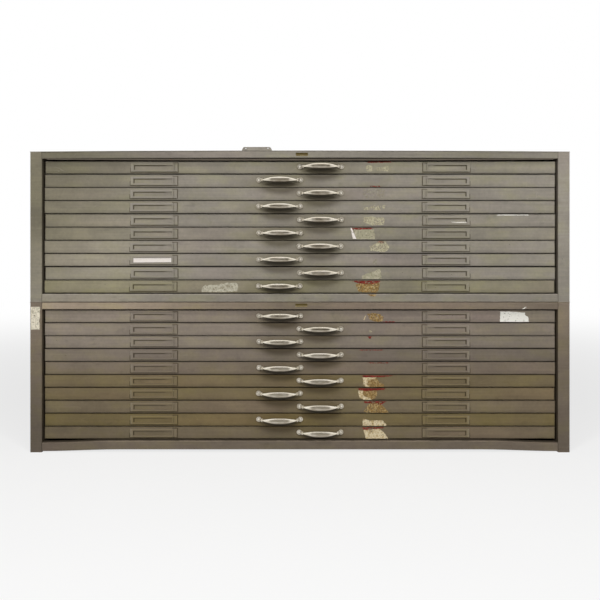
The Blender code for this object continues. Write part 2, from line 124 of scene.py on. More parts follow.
class Bench:
    """Modelling moves as made by hand: put down, take up, select, shape and finish."""

    @staticmethod
    def put_down() -> None:
        """Deselect every object."""
        bpy.ops.object.select_all(action="DESELECT")

    @staticmethod
    def take(*pieces: Piece) -> None:
        """Select some pieces and make the first one active."""
        Bench.put_down()
        for piece in pieces:
            piece.select_set(True)
        bpy.context.view_layer.objects.active = pieces[0]

    @staticmethod
    def settle(name: str) -> Piece:
        """Name the primitive just added and move its place into its mesh.

        Args:
            name: Name of the new piece.

        Returns:
            The new piece.
        """
        piece = bpy.context.active_object
        piece.name = piece.data.name = name
        bpy.ops.object.transform_apply(location=True, rotation=True, scale=True)
        return piece

    @staticmethod
    def box(name: str, low: Vector, high: Vector) -> Piece:
        """Add a box between two corners.

        Args:
            name: Name of the new piece.
            low: Lowest corner.
            high: Highest corner.

        Returns:
            The new piece.
        """
        Bench.put_down()
        bpy.ops.mesh.primitive_cube_add(size=1, location=(low + high) / 2, scale=high - low)
        return Bench.settle(name)

    @staticmethod
    @contextmanager
    def shaping(piece: Piece, part: Part) -> Iterator[None]:
        """Hold a piece in edit mode, with nothing selected at first."""
        Bench.take(piece)
        bpy.ops.object.mode_set(mode="EDIT")
        bpy.ops.mesh.select_mode(type=part.value)
        bpy.ops.mesh.select_all(action="DESELECT")
        yield
        bpy.ops.object.mode_set(mode="OBJECT")

    @staticmethod
    def choose(piece: Piece, part: Part, test: Callable[..., bool]) -> int:
        """Select the parts of an edited mesh that pass a test, and no others.

        Args:
            piece: The piece in edit mode.
            part: Kind of part to look at.
            test: Says whether a vertex, edge or face is wanted.

        Returns:
            How many parts were selected.
        """
        bpy.ops.mesh.select_all(action="DESELECT")
        form = bmesh.from_edit_mesh(piece.data)
        found = {Part.VERTS: form.verts, Part.EDGES: form.edges, Part.FACES: form.faces}[part]
        wanted = [item for item in found if test(item)]
        for item in wanted:
            item.select_set(True)
        bmesh.update_edit_mesh(piece.data)
        return len(wanted)

    @staticmethod
    def apply(piece: Piece, kind: str, **settings: object) -> None:
        """Add a modifier to a piece, set it and apply it.

        Args:
            piece: The piece.
            kind: Blender's name for the modifier.
            settings: Values for the modifier's properties.
        """
        Bench.take(piece)
        modifier = piece.modifiers.new(kind.lower(), kind)
        for name, value in settings.items():
            setattr(modifier, name, value)
        bpy.ops.object.modifier_apply(modifier=modifier.name)

    @staticmethod
    def round_edges(piece: Piece, width: float, segments: int) -> None:
        """Bevel the sharp edges of a piece."""
        sharp = {"limit_method": "ANGLE", "angle_limit": SMOOTH_ANGLE}
        Bench.apply(piece, "BEVEL", width=width, segments=segments, **sharp)

    @staticmethod
    def merge(piece: Piece, tool: Piece, operation: str = "UNION") -> None:
        """Fuse another shape with a piece or cut it away, and use the other shape up."""
        Bench.apply(piece, "BOOLEAN", operation=operation, solver="EXACT", object=tool)
        bpy.data.objects.remove(tool)

    @staticmethod
    def join(*pieces: Piece) -> Piece:
        """Join loose pieces into the first one and return it."""
        Bench.take(*pieces)
        bpy.ops.object.join()
        return pieces[0]

    @staticmethod
    def soften(piece: Piece) -> None:
        """Shade a piece smooth up to its sharp bends, with its faces pointing out."""
        with Bench.shaping(piece, Part.FACES):
            bpy.ops.mesh.select_all(action="SELECT")
            bpy.ops.mesh.normals_make_consistent(inside=False)
        Bench.take(piece)
        bpy.ops.object.shade_smooth_by_angle(angle=SMOOTH_ANGLE)

    @staticmethod
    def copy(piece: Piece, name: str, place: Vector, turn: float = 0.0) -> Piece:
        """Copy a piece with its own mesh to a new place.

        Args:
            piece: The pattern, modelled round the origin.
            name: Name of the copy.
            place: Where the pattern's origin goes.
            turn: Turn about the Y axis, in radians.

        Returns:
            The copy, with its place in its mesh.
        """
        twin = piece.copy()
        twin.data = piece.data.copy()
        bpy.context.scene.collection.objects.link(twin)
        twin.rotation_euler = (0.0, turn, 0.0)
        twin.location = place
        Bench.take(twin)
        return Bench.settle(name)

    @staticmethod
    def mark(piece: Piece, name: str, amount: Callable[[Vector, Vector], float]) -> None:
        """Store a share at every vertex, for a material to read.

        Args:
            piece: The finished piece.
            name: Name of the attribute.
            amount: Gives the share from a vertex's place and normal.
        """
        attribute = piece.data.attributes.new(name, "FLOAT", "POINT")
        shares = [amount(vertex.co, vertex.normal) for vertex in piece.data.vertices]
        attribute.data.foreach_set("value", shares)

    @staticmethod
    def dress(piece: Piece, material: bpy.types.Material) -> None:
        """Give every material slot of a piece one finish."""
        if not piece.data.materials:
            piece.data.materials.append(material)
        for slot in piece.material_slots:
            slot.material = material

    @staticmethod
    def hand_over(piece: Piece, body: str, slot: str | None = None) -> None:
        """Let a finished piece ride on a body and log it.

        Args:
            piece: The finished piece.
            body: CAD body that carries it.
            slot: Material slot of the record that its finish belongs to, if it has one; not used.
        """
        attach(piece, body)
        log.info("%s on %s, %d faces", piece.name, body, len(piece.data.polygons))


class Graph:
    """Shader nodes of one material, added one at a time."""

    def __init__(self, name: str) -> None:
        """Start a material with its own Principled shader.

        Args:
            name: Name of the material.
        """
        self.material = bpy.data.materials.new(name)
        self.material.use_nodes = True
        self.nodes = self.material.node_tree.nodes
        self.links = self.material.node_tree.links
        self.shader = self.nodes["Principled BSDF"]
        self.spot = self.nodes.new("ShaderNodeTexCoord").outputs["Object"]

    def feed(self, socket: Socket, value: Union[Value, Tint]) -> None:
        """Link a socket to another one, or set its own value."""
        if isinstance(value, bpy.types.NodeSocket):
            self.links.new(value, socket)
        elif socket.type == "RGBA":
            socket.default_value = (*value, 1.0)
        else:
            socket.default_value = value

    def placed(self, centre: Triple = ORIGIN, size: Triple = UNIT_SIZE, turn: float = 0.0) -> Socket:
        """Object coordinates measured from a centre in units of a size.

        Args:
            centre: Point that becomes the origin.
            size: Length of one unit along each axis.
            turn: Turn about the Y axis, in radians.

        Returns:
            The vector socket.
        """
        node = self.nodes.new("ShaderNodeMapping")
        scale = [1 / length for length in size]
        node.inputs["Scale"].default_value = scale
        node.inputs["Rotation"].default_value = (0.0, turn, 0.0)
        moved = Vector(-middle * each for middle, each in zip(centre, scale))
        moved.rotate(node.inputs["Rotation"].default_value)
        node.inputs["Location"].default_value = moved
        self.feed(node.inputs["Vector"], self.spot)
        return node.outputs["Vector"]

    def along(self, spot: Socket, axis: str) -> Socket:
        """One coordinate of a vector."""
        node = self.nodes.new("ShaderNodeSeparateXYZ")
        self.feed(node.inputs[0], spot)
        return node.outputs[axis]

    def cloud(self, spot: Socket, scale: float, detail: float = 3.0, rough: float = 0.55) -> Socket:
        """Noise from 0 to 1.

        Args:
            spot: Where it is read.
            scale: Waves in each unit.
            detail: Octaves.
            rough: Strength of the fine octaves.

        Returns:
            The value socket.
        """
        node = self.nodes.new("ShaderNodeTexNoise")
        self.feed(node.inputs["Vector"], spot)
        node.inputs["Scale"].default_value = scale
        node.inputs["Detail"].default_value = detail
        node.inputs["Roughness"].default_value = rough
        return node.outputs["Fac"]

    def cells(self, spot: Socket, scale: float) -> tuple[Socket, Socket]:
        """Scattered points: distance to the nearest one, and a random share for each."""
        node = self.nodes.new("ShaderNodeTexVoronoi")
        self.feed(node.inputs["Vector"], spot)
        node.inputs["Scale"].default_value = scale
        return node.outputs["Distance"], self.along(node.outputs["Color"], "X")

    def patch(self, centre: Triple, size: Triple) -> Socket:
        """Share that falls from 1 at a centre to 0 at a size away from it."""
        node = self.nodes.new("ShaderNodeTexGradient")
        node.gradient_type = "SPHERICAL"
        self.feed(node.inputs["Vector"], self.placed(centre, size))
        return self.ramp(node.outputs["Fac"], 0.0, 1.0)

    def stain(self, centre: Pair, size: Pair) -> Socket:
        """Patch on the fronts, placed along x and z, that is alike at any depth."""
        return self.patch((centre[0], 0.0, centre[1]), (size[0], DEEP, size[1]))

    def ramp(self, value: Value, low: float, high: float, start: float = 0.0, end: float = 1.0) -> Socket:
        """Ease a value from start at low to end at high.

        Args:
            value: What is eased.
            low: Value that gives start.
            high: Value that gives end.
            start: Result at low and below.
            end: Result at high and above.

        Returns:
            The eased value.
        """
        node = self.nodes.new("ShaderNodeMapRange")
        node.interpolation_type = "SMOOTHSTEP"
        names = ("Value", "From Min", "From Max", "To Min", "To Max")
        for name, each in zip(names, (value, low, high, start, end)):
            self.feed(node.inputs[name], each)
        return node.outputs["Result"]

    def calc(self, operation: str, first: Value, second: Value = 0.0) -> Socket:
        """Work out one sum from two values."""
        node = self.nodes.new("ShaderNodeMath")
        node.operation = operation
        self.feed(node.inputs[0], first)
        self.feed(node.inputs[1], second)
        return node.outputs[0]

    def product(self, *values: Value) -> Value:
        """Multiply several values."""
        result = values[0]
        for value in values[1:]:
            result = self.calc("MULTIPLY", result, value)
        return result

    def blend(self, share: Value, first: Tint, second: Tint) -> Socket:
        """Mix two colours.

        Args:
            share: How much of the second shows.
            first: Colour at share 0.
            second: Colour at share 1.

        Returns:
            The mixed colour.
        """
        node = self.nodes.new("ShaderNodeMix")
        node.data_type = "RGBA"
        self.feed(node.inputs[0], share)
        self.feed(node.inputs[6], first)
        self.feed(node.inputs[7], second)
        return node.outputs[2]

    def shaded(self, colour: Tint, value: Value) -> Socket:
        """Scale a colour by a value."""
        node = self.nodes.new("ShaderNodeVectorMath")
        node.operation = "SCALE"
        self.feed(node.inputs[0], colour)
        self.feed(node.inputs["Scale"], value)
        return node.outputs[0]

    def mark(self, name: str) -> Socket:
        """Share stored at the vertices under a name."""
        node = self.nodes.new("ShaderNodeAttribute")
        node.attribute_name = name
        return node.outputs["Fac"]

    def relief(self, height: Value, distance: float, strength: float, under: Socket | None = None) -> Socket:
        """Bump from a height.

        Args:
            height: Height from 0 to 1.
            distance: Depth of a full step.
            strength: Strength of the effect.
            under: Normal of a coarser relief below this one.

        Returns:
            The normal.
        """
        node = self.nodes.new("ShaderNodeBump")
        node.inputs["Strength"].default_value = strength
        node.inputs["Distance"].default_value = distance
        self.feed(node.inputs["Height"], height)
        if under:
            self.feed(node.inputs["Normal"], under)
        return node.outputs["Normal"]

    def show(self, surface: Socket) -> None:
        """Make a socket the material's surface."""
        self.links.new(surface, self.nodes["Material Output"].inputs["Surface"])

    def finish(self, colour: Tint, roughness: Value, normal: Socket | None, metallic: Value = 0.0,
               specular: float = 0.5) -> bpy.types.Material:
        """Wire up the shader.

        Args:
            colour: Base colour.
            roughness: Roughness.
            normal: Normal, or None for the plain surface.
            metallic: Metallic share.
            specular: Specular level.

        Returns:
            The finished material.
        """
        self.feed(self.shader.inputs["Base Color"], colour)
        self.feed(self.shader.inputs["Roughness"], roughness)
        self.feed(self.shader.inputs["Metallic"], metallic)
        self.shader.inputs["Specular IOR Level"].default_value = specular
        if normal:
            self.feed(self.shader.inputs["Normal"], normal)
        return self.material


class PaintTone(Enum):
    """Base colours of the enamel, in linear light."""

    UPPER_TAUPE = (0.262, 0.237, 0.199)
    UPPER_OLIVE = (0.240, 0.216, 0.153)
    UPPER_DRAB = (0.244, 0.221, 0.178)
    LOWER_PALE = (0.222, 0.187, 0.151)
    LOWER_TAUPE = (0.187, 0.150, 0.112)
    LOWER_OLIVE = (0.178, 0.138, 0.077)
    LOWER_MAUVE = (0.184, 0.152, 0.121)
    LOWER_BROWN = (0.186, 0.147, 0.094)
    LOWER_AMBER = (0.182, 0.139, 0.067)

    @property
    def section(self) -> str:
        """Section that is painted in this tone."""
        return self.name.split("_")[0].lower()


class Ageing(Enum):
    """What age, dirt and painted light and shade do to a tone: shares that scale its red, green and blue."""

    OLIVE = (0.95, 0.97, 0.80)
    MAUVE = (0.98, 0.93, 0.98)
    HAZE = (1.0, 0.99, 0.78)
    RUBBED = (1.55, 1.55, 1.6)
    SCRATCHED = (1.7, 1.7, 1.75)
    HANDLED = (0.66, 0.64, 0.50)
    GRIME = (0.30, 0.27, 0.20)
    SOOT = (0.13, 0.115, 0.085)
    HOLDER_OLIVE = (0.93, 0.94, 0.80)
    HOLDER_GRIME = (0.25, 0.22, 0.18)

    def of(self, tone: PaintTone) -> Colour:
        """Colour of a tone after this shift."""
        red, green, blue = (base * share for base, share in zip(tone.value, self.value))
        return red, green, blue


class Dirt(Enum):
    """Colours of dirt and of painted shade that lie on any tone, in linear light."""

    SIDE_GAP = (0.045, 0.034, 0.022)
    HEM = (0.085, 0.064, 0.044)
    DUST = (0.040, 0.031, 0.020)
    CHIP = (0.030, 0.022, 0.014)


class Veil(Enum):
    """Cloudy patterns of the enamel: stretch along each axis, scale, octaves and their strength."""

    DRIFT = ((1.0, 1.0, 0.7), 2.6, 2.0, 0.55)
    MOTTLE = ((1.0, 1.0, 0.45), 10.0, 6.0, 0.62)
    SMEAR = ((0.07, 0.3, 0.05), 1.0, 4.0, 0.6)
    STREAK = ((0.22, 0.5, 0.005), 1.0, 4.0, 0.6)
    SPECK = ((0.0065, 0.02, 0.0085), 1.0, 2.0, 0.55)
    SMUDGE = ((0.050, 0.10, 0.026), 1.0, 4.0, 0.6)
    RUB = ((0.03, 0.03, 0.03), 1.0, 5.0, 0.65)
    HAIR = ((0.16, 0.16, 0.05), 1.0, 2.0, 0.55)
    SPARSE = ((0.12, 0.12, 0.12), 1.0, 3.0, 0.55)
    WAVES = ((0.20, 0.20, 0.20), 1.0, 2.0, 0.55)

    def over(self, graph: Graph, shift: Triple, turn: float = 0.0) -> Socket:
        """Values of the pattern, moved by a shift and turned about the Y axis."""
        stretch, scale, detail, rough = self.value
        return graph.cloud(graph.placed(shift, stretch, turn), scale, detail, rough)


DEPTH_SHARES = {Veil.MOTTLE: 0.11, Veil.SMEAR: 0.08, Veil.STREAK: 0.07, Veil.SPECK: 0.045}


@dataclass(frozen=True)
class Pool:
    """Broad patch where the enamel differs from the rest, and by how much."""

    centre: Pair
    size: Pair
    change: float


HAZE = Pool((-0.72, 0.66), (0.50, 0.44), 0.75)
# Painted light and shade across the upper section, darkest at its upper left corner.
UPPER_POOLS = (
    Pool((-0.70, 0.74), (0.46, 0.34), -0.34),
    Pool((-0.48, 0.47), (0.24, 0.14), 0.22),
    Pool((0.27, 0.46), (0.16, 0.13), -0.14),
    Pool((0.66, 0.66), (0.26, 0.34), 0.14),
    Pool((0.30, 0.722), (0.85, 0.022), 0.14),
)
# Painted light and shade across the lower section, darker towards the bottom.
LOWER_POOLS = (
    Pool((-0.52, 0.33), (0.60, 0.16), 0.22),
    Pool((0.50, 0.24), (0.40, 0.12), -0.10),
    Pool((-0.66, 0.06), (0.30, 0.20), -0.10),
    Pool((0.0, -0.02), (5.0, 0.24), -0.16),
)
# Painted light and shade on single parts of the case.
CROWN_POOLS = {
    "upper_top_rail": (Pool((-0.40, 0.755), (0.36, 0.30), -0.20), Pool((0.55, 0.755), (0.55, 0.30), -0.22)),
    "lower_top_rail": (Pool((-0.60, 0.375), (0.62, 0.30), 0.75), Pool((0.35, 0.375), (0.50, 0.30), 0.12)),
    "upper_left_side": (Pool((-0.67, 0.59), (0.10, 0.10), -0.20),),
    "lower_left_side": (Pool((-0.67, 0.10), (0.10, 0.26), -0.18),),
    "lower_right_side": (Pool((0.67, 0.08), (0.10, 0.22), -0.16), Pool((0.67, 0.36), (0.10, 0.10), 0.22)),
}


@dataclass(frozen=True)
class GripStain:
    """Painted shadow near a handle: its place from the grip's middle, its half size and its strength."""

    offset: Pair
    size: Pair
    full: float
    cover: float

    def near(self, graph: Graph, grip: Pair) -> Value:
        """Share of the painted shadow round one grip.

        Args:
            graph: The material's nodes.
            grip: Middle of the grip along x and z.

        Returns:
            The share.
        """
        centre = (grip[0] + self.offset[0], grip[1] + self.offset[1])
        return graph.product(graph.ramp(graph.stain(centre, self.size), 0.0, self.full), self.cover)


# Painted shadow, with dirt, directly under each handle.
UNDER_GRIP = GripStain((0.001, -0.0105), (0.066, 0.0110), 0.55, 0.92)
# Painted shadow that the handle above casts on the top of each drawer below it.
OVERHANG_SHADOWS = {
    "upper": GripStain((0.002, -0.016), (0.088, 0.031), 0.75, 0.66),
    "lower": GripStain((0.002, -0.016), (0.088, 0.031), 0.75, 0.88),
}


def orange_peel(graph: Graph, under: Socket | None = None) -> Socket:
    """Fine bumps of sprayed enamel, over a coarser relief if there is one."""
    return graph.relief(graph.cloud(graph.spot, 900.0, 2.0), 0.00006, 0.6, under)


@dataclass(frozen=True)
class Enamel:
    """Aged baked enamel over sheet steel, stained, rubbed and chipped, with painted light and shade.

    A band holds two distances from an edge, between which an effect sets in.
    """

    tone: PaintTone
    name: str
    centre: Triple
    half_height: float
    half_width: float
    seed: float
    pools: tuple[Pool, ...] = ()
    rubbed_edge: float = 0.12
    touch: Pair | None = None
    overhang: Pair | None = None
    holders: Pair | None = None
    hem: float = 0.0
    front: float = 0.0

    least_hem: ClassVar[float] = 0.0012
    rim_band: ClassVar[Pair] = (0.0026, 0.0006)
    soil_band: ClassVar[Pair] = (0.0042, 0.0010)
    end_band: ClassVar[Pair] = (0.0030, 0.0012)
    line_band: ClassVar[Pair] = (0.0034, 0.0018)
    line_start: ClassVar[Pair] = (0.010, 0.024)
    outline_band: ClassVar[Pair] = (0.0030, 0.0014)
    blur: ClassVar[float] = 0.0001
    corner_blur: ClassVar[float] = 0.001
    line_share: ClassVar[float] = 0.92
    hand_drop: ClassVar[float] = 0.006
    hand_size: ClassVar[Pair] = (0.125, 0.042)
    dust_starts: ClassVar[Pair] = (0.0008, 0.0045)
    dust_ends: ClassVar[Pair] = (0.014, 0.040)
    chip_size: ClassVar[Triple] = (0.021, 0.021, 0.021)
    scratch_turn: ClassVar[float] = 0.5
    scratch_share: ClassVar[float] = 0.20
    specular: ClassVar[float] = 0.32

    def stained(self, graph: Graph) -> Socket:
        """Base colour with its broad drifts, stains and painted light and shade.

        Args:
            graph: The material's nodes.

        Returns:
            The colour before its edges, dirt, chips and scratches.
        """
        shift = (self.seed * 3.7, 0.0, self.seed * 1.9)
        drift = Veil.DRIFT.over(graph, shift)
        veils = {veil: veil.over(graph, shift) for veil in DEPTH_SHARES}
        mottled = graph.ramp(veils[Veil.MOTTLE], 0.42, 0.66, 0.0, 0.8)
        colour = graph.blend(mottled, self.tone.value, Ageing.OLIVE.of(self.tone))
        colour = graph.blend(graph.ramp(drift, 0.50, 0.72, 0.0, 0.7), colour, Ageing.MAUVE.of(self.tone))
        if self.tone.section == SECTIONS[0]:
            haze = graph.product(graph.stain(HAZE.centre, HAZE.size), HAZE.change)
            colour = graph.blend(haze, colour, Ageing.HAZE.of(self.tone))
        level = graph.ramp(drift, 0.25, 0.75, 0.93, 1.07)
        # Broad painted light and shade from the pools.
        for pool in self.pools:
            fade = graph.stain(pool.centre, pool.size)
            level = graph.calc("ADD", level, graph.product(fade, pool.change))
        for veil, depth in DEPTH_SHARES.items():
            level = graph.product(level, graph.ramp(veils[veil], 0.25, 0.75, 1 - depth, 1 + depth))
        smudge = Veil.SMUDGE.over(graph, (self.seed * 5.3, 0.0, self.seed))
        level = graph.product(level, graph.ramp(smudge, 0.58, 0.76, 1.0, 0.80))
        return graph.shaded(colour, level)

    def hemmed(self, graph: Graph, height: Socket) -> Socket:
        """Share of the painted shade on the downward bend along the lower edge, deepest in the middle.

        Args:
            graph: The material's nodes.
            height: Height from the middle of the piece.

        Returns:
            The share.
        """
        wide = graph.along(graph.placed(size=(HALF_OPENING, 1.0, 1.0)), "X")
        bow = graph.calc("SUBTRACT", 1.0, graph.product(wide, wide))
        limit = graph.calc("ADD", graph.product(bow, self.hem), self.least_hem)
        above = graph.calc("DIVIDE", graph.calc("ADD", height, self.half_height), limit)
        return graph.ramp(above, 0.60, 1.45, 0.88, 0.0)

    def in_openings(self, graph: Graph, out: Socket, high: Socket) -> tuple[Socket, Socket]:
        """Shares of the holders' openings and of the lines of painted shade and dirt at their outer
        ends and tops.

        Args:
            graph: The material's nodes.
            out: Distance outwards from the middle of an opening.
            high: Height above the middle of an opening.

        Returns:
            The share of the openings and the share of the lines.
        """
        half_width, half_height = CardHolder.opening_width / 2, CardHolder.opening_height / 2
        inside = graph.calc("MINIMUM", graph.calc("SUBTRACT", half_width, graph.calc("ABSOLUTE", out)),
                            graph.calc("SUBTRACT", half_height, graph.calc("ABSOLUTE", high)))
        inside = graph.ramp(inside, -self.blur, self.blur)
        start, full = self.line_band
        end = graph.ramp(out, half_width - start, half_width - full)
        top = graph.ramp(high, half_height - start, half_height - full)
        start, full = self.line_start
        top = graph.product(top, graph.ramp(out, start - half_width, full - half_width, 0.25, 1.0))
        return inside, graph.product(inside, graph.calc("MAXIMUM", end, top))

    def beside_holders(self, graph: Graph) -> Socket:
        """Share of the painted shade and dirt that line the card holders, inside their openings and
        round them.

        Args:
            graph: The material's nodes.

        Returns:
            The share.
        """
        x, z = self.holders
        spot = graph.placed((x, 0.0, z))
        out = graph.calc("SUBTRACT", graph.calc("ABSOLUTE", graph.along(spot, "X")), CardHolder.spacing / 2)
        high = graph.along(spot, "Z")
        inside, lined = self.in_openings(graph, out, high)
        half_width, half_height = CardHolder.opening_width / 2, CardHolder.opening_height / 2
        shift = (CardHolder.outer_end - CardHolder.inner_end) / 2
        reach = half_width + (CardHolder.outer_end + CardHolder.inner_end) / 2
        beyond = graph.calc("ABSOLUTE", graph.calc("SUBTRACT", out, shift))
        beside = graph.calc("SUBTRACT", beyond, reach)
        level = graph.calc("SUBTRACT", graph.calc("ABSOLUTE", high), half_height + CardHolder.rail)
        # Painted shade along the outline below each holder and round its inner end.
        round_it = graph.ramp(graph.calc("MAXIMUM", beside, level), *self.outline_band, 0.0, 0.85)
        shaded_side = graph.calc("MAXIMUM", graph.ramp(out, -half_width, -half_width - self.corner_blur),
                                 graph.ramp(high, 0.0, -self.corner_blur))
        outside = graph.calc("SUBTRACT", 1.0, inside)
        return graph.calc("MAXIMUM", lined, graph.product(round_it, shaded_side, outside))

    def edged(self, graph: Graph, colour: Tint, height: Socket, rub: Socket) -> Tint:
        """Colour with rubbed rims that carry a painted highlight, and on drawers painted shade near the
        top and bottom edges, towards the bottom and along the ends by the side gaps.

        Args:
            graph: The material's nodes.
            colour: Colour so far.
            height: Height from the middle of the piece.
            rub: Pattern of the rubbing.

        Returns:
            The colour.
        """
        reach = graph.calc("ABSOLUTE", height)
        start, full = self.rim_band
        rim = graph.ramp(reach, self.half_height - start, self.half_height - full)
        # Rubbed paint and a painted highlight along the top and bottom rims.
        rubbed_highlit_rim = graph.product(rim, graph.ramp(rub, 0.35, 0.62), self.rubbed_edge)
        if self.touch:
            # Painted shade near the top and bottom edges, and darker towards the bottom of the front.
            start, full = self.soil_band
            edge_shade = graph.ramp(reach, self.half_height - start, self.half_height - full, 1.0, 0.80)
            low = graph.ramp(height, -self.half_height * 0.30, -self.half_height * 0.75, 1.0, 0.90)
            colour = graph.shaded(colour, graph.product(edge_shade, low))
            wide = graph.calc("ABSOLUTE", graph.along(graph.placed(self.centre), "X"))
            # Painted shade of the side gaps along the front's two ends.
            start, full = self.end_band
            ends = graph.ramp(wide, self.half_width - start, self.half_width - full, 0.0, 0.85)
            colour = graph.blend(ends, colour, Dirt.SIDE_GAP.value)
        return graph.blend(rubbed_highlit_rim, colour, Ageing.RUBBED.of(self.tone))

    def dirtied(self, graph: Graph, colour: Tint, height: Socket, rub: Socket) -> Tint:
        """Colour with painted shade at the hem, painted shade and dirt round the card holders, dirt from
        handling, painted shadow with dirt under the handle and painted shadow of the handle above.

        Args:
            graph: The material's nodes.
            colour: Colour so far.
            height: Height from the middle of the piece.
            rub: Pattern of the rubbing.

        Returns:
            The colour.
        """
        # Colour of the painted shade and dirt round the holders and of the painted shadow of the handle
        # above.
        grime = Ageing.GRIME.of(self.tone)
        if self.hem:
            # Painted shade on the rail's downward bend along its lower edge.
            colour = graph.blend(self.hemmed(graph, height), colour, Dirt.HEM.value)
        if self.holders:
            # Painted shade and dirt along the holders' openings and round them.
            lines = graph.product(self.beside_holders(graph), self.line_share)
            colour = graph.blend(lines, colour, grime)
        if self.touch:
            x, z = self.touch
            hands = graph.stain((x, z - self.hand_drop), self.hand_size)
            handled = graph.product(hands, graph.ramp(rub, 0.3, 0.7, 0.55, 1.0))
            colour = graph.blend(handled, colour, Ageing.HANDLED.of(self.tone))
            # Painted shadow, with dirt, directly under the handle.
            colour = graph.blend(UNDER_GRIP.near(graph, self.touch), colour, Ageing.SOOT.of(self.tone))
        if self.overhang:
            # Painted shadow of the handle above.
            below = OVERHANG_SHADOWS[self.tone.section].near(graph, self.overhang)
            colour = graph.blend(below, colour, grime)
        return colour

    def scratched(self, graph: Graph, shift: Triple) -> Value:
        """Share of the few fine scratches.

        Args:
            graph: The material's nodes.
            shift: Place of the patterns.

        Returns:
            The share.
        """
        hair = Veil.HAIR.over(graph, shift, self.scratch_turn)
        line = graph.ramp(graph.calc("ABSOLUTE", graph.calc("SUBTRACT", hair, 0.5)), 0.0035, 0.0008)
        return graph.product(line, graph.ramp(Veil.SPARSE.over(graph, shift), 0.56, 0.64))

    def build(self) -> bpy.types.Material:
        """Build the material.

        Returns:
            The finished material.
        """
        graph = Graph(self.name)
        shift = (self.seed * 2.3 + 0.4, 0.0, self.seed)
        rub = Veil.RUB.over(graph, shift)
        height = graph.along(graph.placed(self.centre), "Z")
        colour = self.edged(graph, self.stained(graph), height, rub)
        colour = self.dirtied(graph, colour, height, rub)
        depth = graph.along(graph.placed((0.0, self.front, 0.0)), "Y")
        # Dust and painted shade on faces set back behind the front, in the gaps and recesses.
        dust = graph.product(graph.ramp(depth, *self.dust_starts, 0.0, 0.72),
                             graph.ramp(depth, *self.dust_ends, 1.0, 0.40))
        colour = graph.blend(dust, colour, Dirt.DUST.value)
        spots, pick = graph.cells(graph.placed(shift, self.chip_size), 1.0)
        chips = graph.product(graph.ramp(spots, 0.055, 0.030), graph.ramp(pick, 0.80, 0.84))
        colour = graph.blend(graph.product(chips, 0.7), colour, Dirt.CHIP.value)
        scratches = self.scratched(graph, shift)
        bright = Ageing.SCRATCHED.of(self.tone)
        colour = graph.blend(graph.product(scratches, self.scratch_share), colour, bright)
        roughness = graph.ramp(rub, 0.25, 0.75, 0.40, 0.58)
        roughness = graph.calc("MAXIMUM", roughness, graph.product(chips, 0.8))
        waves = graph.relief(Veil.WAVES.over(graph, shift), 0.004, 0.35)
        whole = graph.calc("SUBTRACT", 1.0, graph.calc("MAXIMUM", chips, scratches))
        chipped = graph.relief(whole, 0.0001, 0.5, orange_peel(graph, waves))
        return graph.finish(colour, roughness, chipped, specular=self.specular)


@dataclass(frozen=True)
class HolderPaint:
    """Enamel of the stamped card holders: paled crests with a painted highlight, and painted shade."""

    tone: PaintTone
    # Colour of the paled crests, also used for their painted highlight.
    bare: Colour = (0.48, 0.45, 0.38)
    stretch: Triple = (0.05, 0.05, 0.02)
    specular: float = 0.4

    def build(self) -> bpy.types.Material:
        """Build the material.

        Returns:
            The finished material.
        """
        graph = Graph(f"holder_{self.tone.name.lower()}")
        mottle = graph.cloud(graph.placed(size=self.stretch), 1.0, 5.0, 0.6)
        grain = graph.cloud(graph.spot, 260.0, 4.0, 0.6)
        olive = graph.ramp(mottle, 0.4, 0.7, 0.0, 0.8)
        colour = graph.blend(olive, self.tone.value, Ageing.HOLDER_OLIVE.of(self.tone))
        colour = graph.shaded(colour, graph.ramp(mottle, 0.25, 0.75, 0.96, 1.12))
        # Painted shade at the holder's foot and on its downward faces, and a darker groove.
        grime = graph.product(graph.mark("grime"), graph.ramp(grain, 0.25, 0.6, 0.5, 0.95))
        colour = graph.blend(grime, colour, Ageing.HOLDER_GRIME.of(self.tone))
        # Paler crests at the outer end, and a painted highlight on upward faces.
        wear = graph.product(graph.mark("wear"), graph.ramp(grain, 0.30, 0.58, 0.25, 1.0))
        colour = graph.blend(wear, colour, self.bare)
        roughness = graph.ramp(wear, 0.0, 1.0, 0.48, 0.34)
        return graph.finish(colour, roughness, orange_peel(graph), specular=self.specular)


